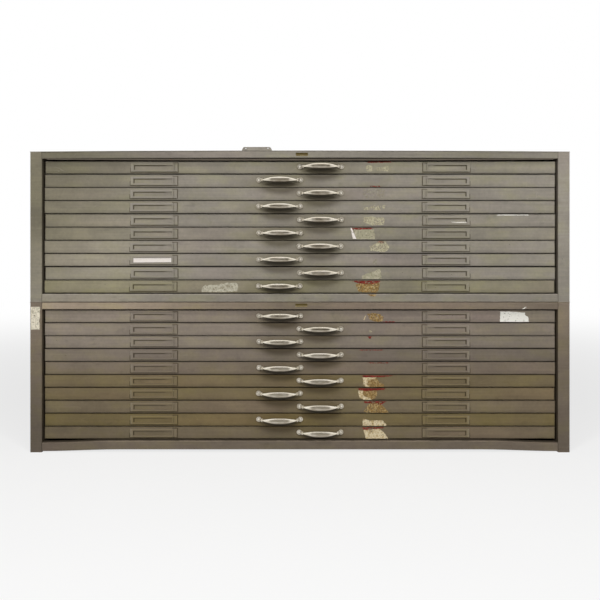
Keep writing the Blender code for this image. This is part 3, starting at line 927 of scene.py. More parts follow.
@dataclass(frozen=True)
class CastNickel:
    """Nickel-plated casting, bright on its ridges, brown where it is tarnishing, and darker where a
    painted dark reflection and painted shade lie on it.

    The film of tarnishing, painted reflection and shade is lighter on the low handles than on the high ones.
    """

    name: str = "cast_nickel"
    bright: Colour = (0.86, 0.805, 0.695)
    warm: Colour = (0.77, 0.70, 0.56)
    tarnished: Colour = (0.150, 0.118, 0.076)
    pit: Colour = (0.05, 0.035, 0.02)
    stretch: Triple = (0.024, 0.008, 0.006)
    fading_heights: Pair = (0.04, 0.30)
    least_film: float = 0.80

    def build(self) -> bpy.types.Material:
        """Build the material.

        Returns:
            The finished material.
        """
        graph = Graph(self.name)
        cloud = graph.cloud(graph.placed(size=self.stretch), 1.0, 4.0, 0.6)
        grain = graph.cloud(graph.spot, 700.0, 3.0, 0.6)
        # The film: tarnishing, with the painted dark reflection and painted shade marked on the casting.
        film = graph.calc("ADD", graph.mark("tarnish"), graph.ramp(cloud, 0.35, 0.70, -0.06, 0.10))
        level = graph.ramp(graph.along(graph.spot, "Z"), *self.fading_heights, self.least_film, 1.0)
        film = graph.product(graph.ramp(film, 0.10, 0.95), level)
        plating = graph.blend(graph.ramp(cloud, 0.3, 0.7), self.bright, self.warm)
        colour = graph.blend(film, plating, self.tarnished)
        colour = graph.shaded(colour, graph.ramp(film, 0.80, 1.0, 1.0, 0.45))
        pits, pick = graph.cells(graph.spot, 620.0)
        pitted = graph.product(graph.ramp(pits, 0.30, 0.14), graph.ramp(pick, 0.70, 0.80))
        colour = graph.blend(graph.product(pitted, 0.7), colour, self.pit)
        roughness = graph.ramp(graph.calc("ADD", film, graph.product(grain, 0.3)), 0.0, 1.3, 0.22, 0.60)
        metallic = graph.ramp(film, 0.0, 1.0, 1.0, 0.45)
        skin = graph.relief(cloud, 0.0004, 0.35)
        skin = graph.relief(graph.calc("SUBTRACT", grain, pitted), 0.00008, 0.5, skin)
        return graph.finish(colour, roughness, skin, metallic)


@dataclass(frozen=True)
class DullSteel:
    """Bare steel under a film of old grease and dust, for the runner racks, the screws and the lip."""

    name: str
    colour: Colour
    film: Colour
    scale: float
    metallic: float = 0.95
    film_metallic: float = 0.45
    rust: Colour = (0.10, 0.045, 0.018)
    drawn_stretch: Triple = (0.002, 0.15, 0.002)

    def build(self) -> bpy.types.Material:
        """Build the material.

        Returns:
            The finished material.
        """
        graph = Graph(self.name)
        cloud = graph.cloud(graph.spot, self.scale, 5.0, 0.6)
        drawn = graph.cloud(graph.placed(size=self.drawn_stretch), 1.0, 3.0)
        rust = graph.ramp(graph.cloud(graph.spot, self.scale * 2.7, 5.0, 0.7), 0.60, 0.72, 0.0, 0.7)
        colour = graph.blend(graph.ramp(cloud, 0.35, 0.65), self.colour, self.film)
        colour = graph.blend(rust, colour, self.rust)
        colour = graph.shaded(colour, graph.ramp(drawn, 0.3, 0.7, 0.85, 1.12))
        roughness = graph.ramp(cloud, 0.3, 0.7, 0.36, 0.66)
        metallic = graph.ramp(cloud, 0.35, 0.65, self.metallic, self.film_metallic)
        metallic = graph.calc("SUBTRACT", metallic, graph.product(rust, 0.4))
        return graph.finish(colour, roughness, graph.relief(drawn, 0.00008, 0.5), metallic)


LIP_STEEL = DullSteel("lip_steel", (0.118, 0.098, 0.075), (0.086, 0.071, 0.053), 30.0, 0.15, 0.05)
RUNNER_STEELS = {
    section: DullSteel(f"{section}_runner_steel", (0.30, 0.28, 0.24), (0.13, 0.11, 0.085), 22.0)
    for section in SECTIONS
}
SCREW_STEEL = DullSteel("screw_steel", (0.88, 0.84, 0.75), (0.74, 0.68, 0.57), 300.0, 0.62)


@dataclass(frozen=True)
class PlateBrass:
    """Old brass of the bare plates, brown all over with a rubbed lower edge."""

    name: str
    centre_height: float
    half_height: float
    brown: Colour = (0.105, 0.075, 0.022)
    rubbed: Colour = (0.34, 0.27, 0.13)
    dirt: Colour = (0.04, 0.028, 0.014)
    metallic: float = 0.7

    def build(self) -> bpy.types.Material:
        """Build the material.

        Returns:
            The finished material.
        """
        graph = Graph(self.name)
        cloud = graph.cloud(graph.spot, 240.0, 5.0, 0.65)
        height = graph.along(graph.placed((0.0, 0.0, self.centre_height)), "Z")
        low = graph.ramp(height, self.half_height * 0.3, -self.half_height * 0.8)
        bright = graph.product(low, graph.ramp(cloud, 0.3, 0.6, 0.35, 1.0))
        colour = graph.blend(bright, self.brown, self.rubbed)
        colour = graph.blend(graph.ramp(cloud, 0.58, 0.72, 0.0, 0.6), colour, self.dirt)
        roughness = graph.ramp(cloud, 0.3, 0.7, 0.38, 0.6)
        return graph.finish(colour, roughness, graph.relief(cloud, 0.0001, 0.4), self.metallic)


@dataclass(frozen=True)
class Residue:
    """Colours of one kind of paper, tape or glue, from its clean parts to its worn ones."""

    clean: Colour
    worn: Colour
    dirt: Colour
    worn_share: float
    dirt_share: float
    grain: float = 170.0
    tears: float = 0.0


def level_over(share: float) -> float:
    """Noise level that about this share of the area lies above."""
    return 0.5 + (0.5 - share) * 0.5


class Scrap(Enum):
    """Kinds of paper and tape that are left on the fronts."""

    CARD = Residue((0.79, 0.73, 0.68), (0.74, 0.68, 0.61), (0.56, 0.50, 0.42), 0.30, 0.04, 60.0)
    LABEL = Residue((0.80, 0.78, 0.71), (0.64, 0.62, 0.56), (0.28, 0.26, 0.21), 0.30, 0.16, 70.0)
    MOTTLED = Residue((0.78, 0.72, 0.58), (0.56, 0.52, 0.40), (0.26, 0.22, 0.14), 0.42, 0.26, 120.0, 0.5)
    CREAM = Residue((0.70, 0.60, 0.40), (0.50, 0.38, 0.20), (0.22, 0.14, 0.07), 0.45, 0.25, 150.0, 0.5)
    OCHRE = Residue((0.46, 0.34, 0.16), (0.27, 0.165, 0.055), (0.13, 0.085, 0.040), 0.55, 0.42, 200.0, 0.3)
    STICKER = Residue((0.44, 0.40, 0.29), (0.34, 0.32, 0.22), (0.22, 0.20, 0.13), 0.50, 0.35, 110.0, 0.4)
    RED_TAPE = Residue((0.25, 0.026, 0.022), (0.13, 0.017, 0.012), (0.050, 0.022, 0.014), 0.50, 0.40, 220.0)
    GLUE = Residue((0.50, 0.46, 0.31), (0.37, 0.335, 0.225), (0.245, 0.215, 0.155), 0.50, 0.40, 170.0, 0.4)
    PALE = Residue((0.50, 0.47, 0.37), (0.38, 0.35, 0.27), (0.26, 0.23, 0.16), 0.45, 0.30, 120.0)
    SMUDGE = Residue((0.30, 0.28, 0.22), (0.27, 0.24, 0.18), (0.22, 0.19, 0.14), 0.50, 0.40, 90.0)

    def build(self) -> bpy.types.Material:
        """Build the material of this kind of scrap.

        Returns:
            The finished material.
        """
        kind = self.value
        graph = Graph(f"scrap_{self.name.lower()}")
        blotch = graph.cloud(graph.spot, kind.grain, 5.0, 0.65)
        fleck = graph.cloud(graph.placed((0.3, 0.0, 0.1)), kind.grain * 2.2, 4.0, 0.6)
        edge = level_over(kind.worn_share)
        colour = graph.blend(graph.ramp(blotch, edge - 0.07, edge + 0.07), kind.clean, kind.worn)
        edge = level_over(kind.dirt_share)
        colour = graph.blend(graph.ramp(fleck, edge - 0.05, edge + 0.05, 0.0, 0.85), colour, kind.dirt)
        if kind.tears:
            lines = graph.cloud(graph.placed(size=(0.0042, 1.0, 0.035)), 1.0, 3.0)
            colour = graph.blend(graph.ramp(lines, 0.60, 0.68, 0.0, kind.tears), colour, kind.dirt)
        fibre = graph.cloud(graph.spot, 1500.0, 2.0)
        normal = graph.relief(graph.calc("ADD", fibre, blotch), 0.0001, 0.5)
        return graph.finish(colour, graph.ramp(blotch, 0.3, 0.7, 0.62, 0.85), normal, specular=0.3)


@dataclass(frozen=True)
class BowHandle:
    """Cast bow handle: an arched bar that swells to the middle, with beads and two round feet."""

    span: float = 0.1060
    half_length: float = 0.0480
    spring: float = 0.0022
    reach: float = 0.0267
    thickness: float = 0.0062
    height: float = 0.0146
    neck_thickness: float = 0.0046
    neck_height: float = 0.0057
    full_length: float = 0.0430
    beads: tuple[Triple, ...] = ((0.915, 0.0017, 0.0051), (0.968, 0.0013, 0.0045))
    foot_radius: float = 0.0069
    foot_base: float = 0.0003
    foot_thickness: float = 0.0036
    foot_rim: float = 0.0027
    foot_sides: int = 32
    rim_segments: int = 6
    recess_radius: float = 0.0036
    recess_depth: float = 0.0006
    recess_taper: float = 0.86
    bead_depth: float = 0.86
    screw_radius: float = 0.0032
    screw_crown: float = 0.42
    screw_lift: float = 0.0001
    slot_width: float = 0.0008
    slot_depth: float = 0.0009
    sides: int = 64
    rings: int = 49

    face_depths: ClassVar[Pair] = (-0.0075, -0.0035)
    ring_radius: ClassVar[float] = 0.0034
    ring_band: ClassVar[Pair] = (0.0002, 0.0009)
    crevice_radii: ClassVar[Pair] = (0.0061, 0.0072)
    bead_gap: ClassVar[float] = 0.022

    @property
    def rise(self) -> float:
        """How far the bar's middle line arches out."""
        return self.reach - self.thickness / 2 - self.spring

    def swell(self, share: float) -> float:
        """How full the bar is at a share of its half length."""
        return max(1 - abs(share * self.half_length / self.full_length) ** 3, 0.0) ** 2

    def deep(self, share: float) -> float:
        """Thickness of the bar at a share of its half length."""
        return self.neck_thickness + (self.thickness - self.neck_thickness) * self.swell(share)

    def tall(self, share: float) -> float:
        """Height of the bar at a share of its half length."""
        return self.neck_height + (self.height - self.neck_height) * self.swell(share)

    def bar(self) -> Piece:
        """Model the arched bar from a straight one, ring by ring.

        Returns:
            The bar.
        """
        Bench.put_down()
        bpy.ops.mesh.primitive_cylinder_add(
            vertices=self.sides, radius=0.5, depth=2 * self.half_length, rotation=(0.0, QUARTER_TURN, 0.0))
        bar = Bench.settle("bow")
        step = 2 * self.half_length / (self.rings - 1)
        with Bench.shaping(bar, Part.VERTS):
            for ring in range(1, self.rings - 1):
                bpy.ops.mesh.select_all(action="SELECT")
                place = (step * ring - self.half_length, 0.0, 0.0)
                bpy.ops.mesh.bisect(plane_co=place, plane_no=(1.0, 0.0, 0.0))
            form = bmesh.from_edit_mesh(bar.data)
            form.verts.index_update()
            ring_of = {vert.index: round((vert.co.x + self.half_length) / step) for vert in form.verts}
            for ring in range(self.rings):
                angle = math.pi * (ring / (self.rings - 1) - 0.5)
                share = math.sin(angle)
                here = Vector((step * ring - self.half_length, 0.0, 0.0))
                there = Vector((self.half_length * share, -self.spring - self.rise * math.cos(angle), 0.0))
                lean = math.atan2(self.rise * share, self.half_length * math.cos(angle))
                Bench.choose(bar, Part.VERTS, lambda vert: ring_of[vert.index] == ring)
                size = (1.0, self.deep(share), self.tall(share))
                bpy.ops.transform.resize(value=size, center_override=here)
                bpy.ops.transform.rotate(value=-lean, orient_axis="Z", center_override=here)
                bpy.ops.transform.translate(value=there - here)
        return bar

    def foot(self, side: int) -> Piece:
        """Model a round foot with a rounded rim and a recess for its screw.

        Args:
            side: -1 for the left foot, 1 for the right one.

        Returns:
            The foot.
        """
        depth = self.foot_thickness - self.foot_base
        middle = -self.foot_base - depth / 2
        Bench.put_down()
        bpy.ops.mesh.primitive_cylinder_add(
            vertices=self.foot_sides, radius=self.foot_radius, depth=depth, rotation=UPRIGHT,
            location=(side * self.span / 2, middle, 0.0))
        foot = Bench.settle("foot")
        with Bench.shaping(foot, Part.EDGES):
            Bench.choose(foot, Part.EDGES, lambda edge: all(vert.co.y < middle for vert in edge.verts))
            bpy.ops.mesh.bevel(offset=self.foot_rim, segments=self.rim_segments, profile=0.5)
            bpy.ops.mesh.select_mode(type="FACE")
            Bench.choose(foot, Part.FACES, lambda face: faces_front(face)
                         and len(face.verts) == self.foot_sides)
            bpy.ops.mesh.inset(thickness=self.foot_radius - self.foot_rim - self.recess_radius)
            bpy.ops.mesh.extrude_region_move(TRANSFORM_OT_translate={"value": (0.0, self.recess_depth, 0.0)})
            bpy.ops.transform.resize(value=(self.recess_taper, 1.0, self.recess_taper),
                                     center_override=(side * self.span / 2, 0.0, 0.0))
        return foot

    def bead(self, share: float, wide: float, high: float) -> Piece:
        """Model one ring-shaped bead round the bar.

        Args:
            share: Its place as a share of the half length.
            wide: Half its width.
            high: Half its height.

        Returns:
            The bead.
        """
        angle = math.asin(share)
        Bench.put_down()
        bpy.ops.mesh.primitive_uv_sphere_add(
            segments=24, ring_count=14, radius=high, scale=(wide / high, self.bead_depth, 1.0),
            location=(self.half_length * share, -self.spring - self.rise * math.cos(angle), 0.0),
            rotation=(0.0, 0.0, angle * 0.5))
        return Bench.settle("bead")

    def tarnish(self, place: Vector, normal: Vector) -> float:
        """How dark the plating is at a point: a painted dark reflection across the bow, painted shade on
        its lower edge, underside and back and in the crevices round its feet, and darker screw
        recesses and necks.

        Args:
            place: The point.
            normal: The surface normal there.

        Returns:
            A share from 0 to 1.
        """
        share = min(abs(place.x) / self.half_length, 1.0)
        level = place.z / (self.tall(share) / 2)
        middle = 1 - smooth(share, 0.42, 0.66)
        # Painted dark reflection across the middle and the lower half of the bow.
        lens = smooth(level, 0.68, 0.36) * (0.60 + 0.16 * smooth(level, -0.16, 0.04)) * middle
        band = smooth(level, 0.40, 0.10) * 0.40 * (1 - smooth(share, 0.62, 0.86))
        # Painted shade along the bow's lower edge.
        lower = smooth(level, -0.42, -0.80) * (1 - smooth(share, 0.70, 0.90))
        radius = math.hypot(abs(place.x) - self.span / 2, place.z)
        near_face = smooth(place.y, *self.face_depths)
        recess = near_face * (1 - smooth(abs(radius - self.ring_radius), *self.ring_band)) * 0.85
        # Painted shade in the crevice round each foot, deepest on faces that look down.
        crevice = near_face * smooth(radius, *self.crevice_radii)
        crevice *= 0.20 + 0.60 * smooth(-normal.z, 0.0, 0.7)
        gaps = [min(abs(share - each[0]) / self.bead_gap, 1.0) for each in self.beads]
        neck = smooth(share, 0.86, 0.90) * smooth(min(gaps), 0.3, 0.9) * 0.45
        # Painted shade on the underside and on the back that faces the drawer.
        underside = smooth(-normal.z, 0.30, 0.72)
        behind = smooth(normal.y, 0.1, 0.8) * 0.8
        if near_face > 0.5:
            underside *= 0.6
        return max(lens, band, lower, recess, crevice, neck, underside, behind)

    def model(self) -> Piece:
        """Model the whole casting round the origin, its feet on the plane y = 0.

        Returns:
            The pattern of all handles.
        """
        casting = self.bar()
        for side in (-1, 1):
            for share, wide, high in self.beads:
                Bench.merge(casting, self.bead(side * share, wide, high))
            Bench.merge(casting, self.foot(side))
        Bench.soften(casting)
        Bench.mark(casting, "tarnish", self.tarnish)
        return casting

    def screw(self) -> Piece:
        """Model a slotted oval-head screw round the origin, its head on the plane y = 0.

        Returns:
            The pattern of all screws.
        """
        Bench.put_down()
        bpy.ops.mesh.primitive_uv_sphere_add(
            segments=20, ring_count=12, radius=self.screw_radius, rotation=UPRIGHT,
            scale=(1.0, 1.0, self.screw_crown))
        screw = Bench.settle("screw")
        with Bench.shaping(screw, Part.FACES):
            bpy.ops.mesh.select_all(action="SELECT")
            bpy.ops.mesh.bisect(plane_co=ORIGIN, plane_no=(0.0, 1.0, 0.0), use_fill=True, clear_outer=True)
        crown = Vector((0.0, -self.screw_radius * self.screw_crown, 0.0))
        half = Vector((self.screw_radius * 1.2, self.slot_depth, self.slot_width / 2))
        slot = Bench.box("slot", crown - half, crown + half)
        Bench.merge(screw, slot, "DIFFERENCE")
        Bench.soften(screw)
        return screw


@dataclass(frozen=True)
class CardHolder:
    """Stamped card holder: a raised frame whose wide end points to the middle of the drawer."""

    spacing: float = 0.748
    opening_width: float = 0.0986
    opening_height: float = 0.0119
    outer_end: float = 0.0076
    inner_end: float = 0.0129
    rail: float = 0.0050
    relief: float = 0.0026
    cover: float = 0.0002
    rim: float = 0.0012
    groove_place: float = 0.0042
    groove_width: float = 0.0011
    groove_depth: float = 0.0009
    rim_margin: float = 0.003
    end_wear: float = 0.16
    top_wear: float = 0.20

    def edges(self, side: int) -> dict[str, float]:
        """Places of the holder's lines along x."""
        middle = side * self.spacing / 2
        inner = middle - side * self.opening_width / 2
        outer = middle + side * self.opening_width / 2
        groove = inner - side * self.groove_place
        return {
            "inner": inner,
            "outer": outer,
            "inner_end": inner - side * self.inner_end,
            "outer_end": outer + side * self.outer_end,
            "groove_near": groove - side * self.groove_width / 2,
            "groove_far": groove + side * self.groove_width / 2,
        }

    def model(self, side: int) -> Piece:
        """Model one holder about the drawer's middle, its base on the plane y = 0.

        Args:
            side: -1 for the left holder, 1 for the right one.

        Returns:
            The pattern of the holders on that side.
        """
        line = self.edges(side)
        width = abs(line["outer_end"] - line["inner_end"])
        height = self.opening_height + 2 * self.rail
        middle = (line["outer_end"] + line["inner_end"]) / 2
        Bench.put_down()
        bpy.ops.mesh.primitive_plane_add(size=1, rotation=UPRIGHT, location=(middle, 0.0, 0.0))
        bpy.context.active_object.scale = (width, height, 1.0)
        holder = Bench.settle("holder")
        with Bench.shaping(holder, Part.FACES):
            for name in ("inner", "outer", "groove_near", "groove_far"):
                bpy.ops.mesh.select_all(action="SELECT")
                bpy.ops.mesh.bisect(plane_co=(line[name], 0.0, 0.0), plane_no=(1.0, 0.0, 0.0))
            for level in (-self.opening_height / 2, self.opening_height / 2):
                bpy.ops.mesh.select_all(action="SELECT")
                bpy.ops.mesh.bisect(plane_co=(0.0, 0.0, level), plane_no=(0.0, 0.0, 1.0))
            low, high = sorted((line["inner"], line["outer"]))
            Bench.choose(holder, Part.FACES, lambda face: low < face.calc_center_median().x < high
                         and abs(face.calc_center_median().z) < self.opening_height / 2)
            bpy.ops.mesh.delete(type="FACE")
        Bench.apply(holder, "SOLIDIFY", thickness=self.relief, offset=1.0)
        self.shape(holder, line, width, height)
        Bench.soften(holder)
        Bench.mark(holder, "wear", lambda place, normal: self.wear(place, normal, line))
        Bench.mark(holder, "grime", lambda place, normal: self.grime(place, normal, line))
        return holder

    def shape(self, holder: Piece, line: dict[str, float], width: float, height: float) -> None:
        """Press the groove and round the rims.

        Args:
            holder: The raised frame.
            line: Places of its lines.
            width: Its whole width.
            height: Its whole height.
        """
        front = -self.relief * 0.5
        middle = (line["outer_end"] + line["inner_end"]) / 2
        low, high = sorted((line["groove_near"], line["groove_far"]))
        left, right = sorted((line["inner"], line["outer"]))

        def on_groove(face: bmesh.types.BMFace) -> bool:
            """Whether a face is the strip of the groove."""
            centre = face.calc_center_median()
            return faces_front(face) and low < centre.x < high and abs(centre.z) < self.opening_height / 2

        def at_corner(place: Vector) -> bool:
            """Whether a point is at a corner of the outline."""
            beside = abs(abs(place.x - middle) - width / 2) < SAME_PLACE
            return beside and abs(abs(place.z) - height / 2) < SAME_PLACE

        def off_opening(place: Vector) -> bool:
            """Whether a point is clear of the opening's own rim."""
            beyond = abs(place.z) > self.opening_height / 2 + self.rail * 0.5
            return beyond or not left - self.rim_margin < place.x < right + self.rim_margin

        def on_rim(edge: bmesh.types.BMEdge) -> bool:
            """Whether an edge is a sharp one of the front's outline."""
            ends = [vert.co for vert in edge.verts]
            sharp = all(end.y < front for end in ends) and edge.calc_face_angle(0.0) > 1.0
            in_groove = all(low - SAME_PLACE < end.x < high + SAME_PLACE for end in ends)
            return sharp and not in_groove and all(off_opening(end) for end in ends)

        with Bench.shaping(holder, Part.FACES):
            Bench.choose(holder, Part.FACES, on_groove)
            bpy.ops.mesh.extrude_region_move(TRANSFORM_OT_translate={"value": (0.0, self.groove_depth, 0.0)})
            bpy.ops.mesh.select_mode(type="EDGE")
            Bench.choose(holder, Part.EDGES, lambda edge: runs_back(edge, self.relief / 2)
                         and all(at_corner(vert.co) for vert in edge.verts))
            bpy.ops.mesh.bevel(offset=self.rim, segments=4, profile=0.5)
            Bench.choose(holder, Part.EDGES, on_rim)
            bpy.ops.mesh.bevel(offset=self.rim * 0.8, segments=3, profile=0.5)

    def wear(self, place: Vector, normal: Vector, line: dict[str, float]) -> float:
        """How pale a point of the crest is: paler at the outer end, with a painted highlight on upward faces.
        """
        crest = smooth(-place.y, self.relief * 0.35, self.relief * 0.9)
        outer = 1 - smooth(abs(place.x - line["outer_end"]), 0.0008, 0.0030)
        return crest * max(self.end_wear * outer, self.top_wear * smooth(normal.z, 0.2, 0.8))

    def grime(self, place: Vector, normal: Vector, line: dict[str, float]) -> float:
        """How dark a point of the holder is: painted shade at its foot and on downward faces, and a darker
        groove.
        """
        foot = 1 - smooth(-place.y, 0.0002, self.relief * 0.6)
        groove = 1 - smooth(abs(abs(place.x - line["inner"]) - self.groove_place), 0.0002, 0.0009)
        below = smooth(-normal.z, 0.25, 0.9)
        return max(foot * 0.9, groove * 0.5, below * 0.6)


def front_face(node: str) -> float:
    """Depth of a drawer's flat front face, behind its solid card frames."""
    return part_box(node)[0].y + CardHolder.relief - CardHolder.cover


@dataclass(frozen=True)
class BarePlate:
    """Small plate with rounded corners and two pins, with nothing on it."""

    section: str
    middle: float
    height_share: float
    width: float = 0.0305
    height: float = 0.0080
    thickness: float = 0.0009
    corner: float = 0.0010
    border: float = 0.0008
    pin_radius: float = 0.0007
    pin_inset: float = 0.0024

    def build(self) -> None:
        """Model the plate and its pins and fasten them on the section's top rail."""
        rail = f"{self.section}_top_rail"
        low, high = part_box(rail)
        centre = low.z + (high.z - low.z) * self.height_share
        half = Vector((self.width / 2, self.thickness / 2, self.height / 2))
        middle = Vector((self.middle, low.y - self.thickness / 2, centre))
        plate = Bench.box(f"{self.section}_plate", middle - half, middle + half)
        with Bench.shaping(plate, Part.EDGES):
            Bench.choose(plate, Part.EDGES, lambda edge: runs_back(edge, self.thickness / 2))
            bpy.ops.mesh.bevel(offset=self.corner, segments=4, profile=0.5)
            bpy.ops.mesh.select_mode(type="FACE")
            Bench.choose(plate, Part.FACES, faces_front)
            bpy.ops.mesh.inset(thickness=self.border)
            bpy.ops.mesh.inset(thickness=self.border * 0.3)
            bpy.ops.transform.translate(value=(0.0, self.thickness * 0.3, 0.0))
        for side in (-1, 1):
            across = self.middle + side * (self.width / 2 - self.pin_inset)
            Bench.put_down()
            bpy.ops.mesh.primitive_uv_sphere_add(
                segments=12, ring_count=8, radius=self.pin_radius, scale=(1.0, 0.6, 1.0),
                location=(across, low.y - self.thickness * 0.75, centre))
            Bench.merge(plate, Bench.settle("pin"))
        Bench.soften(plate)
        Bench.dress(plate, PlateBrass(f"{self.section}_plate_brass", centre, self.height / 2).build())
        Bench.hand_over(plate, "cabinet")


@dataclass(frozen=True)
class SaggingLip:
    """Lower lip of the upper top rail, bare and brown, that sags over the first drawer."""

    carrier: str = "upper_top_rail"
    half_width: float = 0.640
    thickness: float = 0.0012
    least: float = 0.0020
    sag: float = 0.0022
    steps: int = 32

    def build(self) -> None:
        """Model the lip from a thin strip whose lower edge is pulled down in the middle."""
        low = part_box(self.carrier)[0]
        lip = Bench.box(f"{self.carrier}_lip", Vector((-self.half_width, low.y, low.z - self.least)),
                        Vector((self.half_width, low.y + self.thickness, low.z)))
        with Bench.shaping(lip, Part.EDGES):
            Bench.choose(lip, Part.EDGES, lambda edge: edge.calc_length() > self.half_width)
            bpy.ops.mesh.subdivide(number_cuts=self.steps - 1)
            bpy.ops.mesh.select_mode(type="VERT")
            for step in range(1, self.steps):
                share = 2 * step / self.steps - 1
                Bench.choose(lip, Part.VERTS, lambda vert: vert.co.z < low.z - self.least / 2
                             and abs(vert.co.x - share * self.half_width) < self.half_width / self.steps)
                bpy.ops.transform.translate(value=(0.0, 0.0, -self.sag * (1 - share * share)))
        Bench.soften(lip)
        Bench.dress(lip, LIP_STEEL.build())
        Bench.hand_over(lip, "cabinet")


@dataclass(frozen=True)
class TopLug:
    """Upright lug with rounded upper corners, folded from the sheet of its foot."""

    top: float = 0.0685
    corner: float = 0.0030
    sheet: float = 0.0020
    rim: float = 0.0003
    hole_radius: float = 0.0013
    hole_edge: float = 0.0062

    def build(self, paint: bpy.types.Material) -> None:
        """Model the lug in the place of its solid.

        Args:
            paint: Enamel of the upper section.
        """
        low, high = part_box("top_lug")
        lug = Bench.box("top_lug_dressed", low, Vector((high.x, low.y + self.sheet, high.z)))
        middle = (low.x + high.x) / 2
        with Bench.shaping(lug, Part.VERTS):
            Bench.choose(lug, Part.VERTS, lambda vert: vert.co.z > high.z - SAME_PLACE)
            bpy.ops.transform.resize(
                value=(self.top / (high.x - low.x), 1.0, 1.0), center_override=(middle, low.y, high.z))
            bpy.ops.mesh.select_mode(type="EDGE")
            Bench.choose(lug, Part.EDGES, lambda edge: runs_back(edge, self.sheet / 2)
                         and all(vert.co.z > high.z - SAME_PLACE for vert in edge.verts))
            bpy.ops.mesh.bevel(offset=self.corner, segments=8, profile=0.5)
        inset = Vector((self.sheet * 2, 0.0, 0.0))
        foot = Bench.box("foot", low + inset + Vector((0.0, self.sheet / 2, 0.0)),
                         Vector((high.x, high.y, low.z + self.sheet)) - inset)
        Bench.merge(lug, foot)
        level = (low.z + self.sheet + high.z) / 2
        for side in (-1, 1):
            Bench.put_down()
            bpy.ops.mesh.primitive_cylinder_add(
                vertices=20, radius=self.hole_radius, depth=self.sheet * 4, rotation=UPRIGHT,
                location=(middle + side * (self.top / 2 - self.hole_edge), low.y, level))
            Bench.merge(lug, Bench.settle("hole"), "DIFFERENCE")
        Bench.round_edges(lug, self.rim, 2)
        Bench.soften(lug)
        Bench.dress(lug, paint)
        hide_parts("top_lug")
        Bench.hand_over(lug, "cabinet", "upper_paint")


@dataclass(frozen=True)
class PaperScrap:
    """Scrap of paper, tape or glue that lies on a front.

    The outline is in millimetres: from the cabinet's middle along x, and up from the middle of
    the node that carries the scrap.
    """

    name: str
    carrier: str
    kind: Scrap
    outline: tuple[Pair, ...]
    ragged: float = 1.0
    torn: float = 0.0
    thickness: float = 0.00012
    curl: float = 0.0002
    cell: float = 0.0009

    edge_margin: ClassVar[float] = 0.5

    def covered(self, x: float, z: float) -> bool:
        """Whether the scrap still covers a point of its outline.

        Args:
            x: Place from the cabinet's middle, in millimetres.
            z: Place above the carrier's middle, in millimetres.

        Returns:
            True where paper is left.
        """
        seed = sum(map(ord, self.name)) * 0.37
        wobble = noise.noise_vector(Vector((x * 0.22, z * 0.22, seed)))
        finer = noise.noise_vector(Vector((x * 0.75, z * 0.75, seed + 9.0)))
        px = x + (wobble.x * 1.5 + finer.x * 0.8) * self.ragged
        pz = z + (wobble.z * 1.0 + finer.z * 0.7) * self.ragged
        inside = False
        for (ax, az), (bx, bz) in zip(self.outline, self.outline[1:] + self.outline[:1]):
            if (az > pz) != (bz > pz) and px < (bx - ax) * (pz - az) / (bz - az) + ax:
                inside = not inside
        hole = noise.fractal(Vector((x * 0.30, z * 0.34, seed + 31.0)), 0.9, 2.0, 3)
        return inside and hole > -0.75 + self.torn * 1.1

    def build(self, finishes: dict[Scrap, bpy.types.Material], bodies: dict[str, str]) -> None:
        """Cut the scrap from a sheet and lay it on its carrier.

        Args:
            finishes: Material of each kind of scrap.
            bodies: CAD body of each node.
        """
        low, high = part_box(self.carrier)
        face = front_face(self.carrier) if self.carrier.startswith("drawer") else low.y
        level = (low.z + high.z) / 2
        limit = (high.z - low.z) / 2 / MILLIMETRE - self.edge_margin
        xs = [x for x, z in self.outline]
        zs = [max(-limit, min(limit, z)) for x, z in self.outline]
        wide, tall = (max(xs) - min(xs)) * MILLIMETRE, (max(zs) - min(zs)) * MILLIMETRE
        across = (max(xs) + min(xs)) / 2 * MILLIMETRE
        centre = Vector((across, face, level + (max(zs) + min(zs)) / 2 * MILLIMETRE))
        Bench.put_down()
        bpy.ops.mesh.primitive_grid_add(
            x_subdivisions=max(2, round(wide / self.cell)), y_subdivisions=max(2, round(tall / self.cell)),
            size=1, rotation=UPRIGHT, location=centre)
        bpy.context.active_object.scale = (wide, tall, 1.0)
        scrap = Bench.settle(self.name)

        def gone(bit: bmesh.types.BMFace) -> bool:
            """Whether this bit of the sheet has been torn away."""
            middle = bit.calc_center_median()
            return not self.covered(middle.x / MILLIMETRE, (middle.z - level) / MILLIMETRE)

        with Bench.shaping(scrap, Part.FACES):
            if Bench.choose(scrap, Part.FACES, gone):
                bpy.ops.mesh.delete(type="FACE")
            bpy.ops.mesh.select_mode(type="VERT")
            Bench.choose(scrap, Part.VERTS, lambda vert: vert.is_boundary)
            bpy.ops.mesh.vertices_smooth(factor=0.5, repeat=2, xaxis=True, yaxis=False, zaxis=True)
            bpy.ops.transform.translate(value=(0.0, -self.curl, 0.0))
        if not scrap.data.polygons:
            raise ValueError(f"{self.name} is torn away completely")
        Bench.apply(scrap, "SOLIDIFY", thickness=self.thickness, offset=1.0)
        Bench.take(scrap)
        bpy.ops.object.shade_smooth_by_angle(angle=SMOOTH_ANGLE)
        Bench.dress(scrap, finishes[self.kind])
        Bench.hand_over(scrap, bodies[self.carrier])


def on_drawer(number: int, label: str, kind: Scrap, outline: tuple[Pair, ...], *look: float,
              curl: float = PaperScrap.curl) -> PaperScrap:
    """Scrap on a drawer's front.

    Args:
        number: Number of the drawer.
        label: Last words of the scrap's name.
        kind: What it is made of.
        outline: Its outline in millimetres.
        look: Its raggedness, its torn share and its thickness, the last two only where they are given.
        curl: How far its edges stand off the front.

    Returns:
        The scrap.
    """
    return PaperScrap(f"scrap_{number:02d}_{label}", f"drawer_{number:02d}", kind, outline, *look, curl=curl)


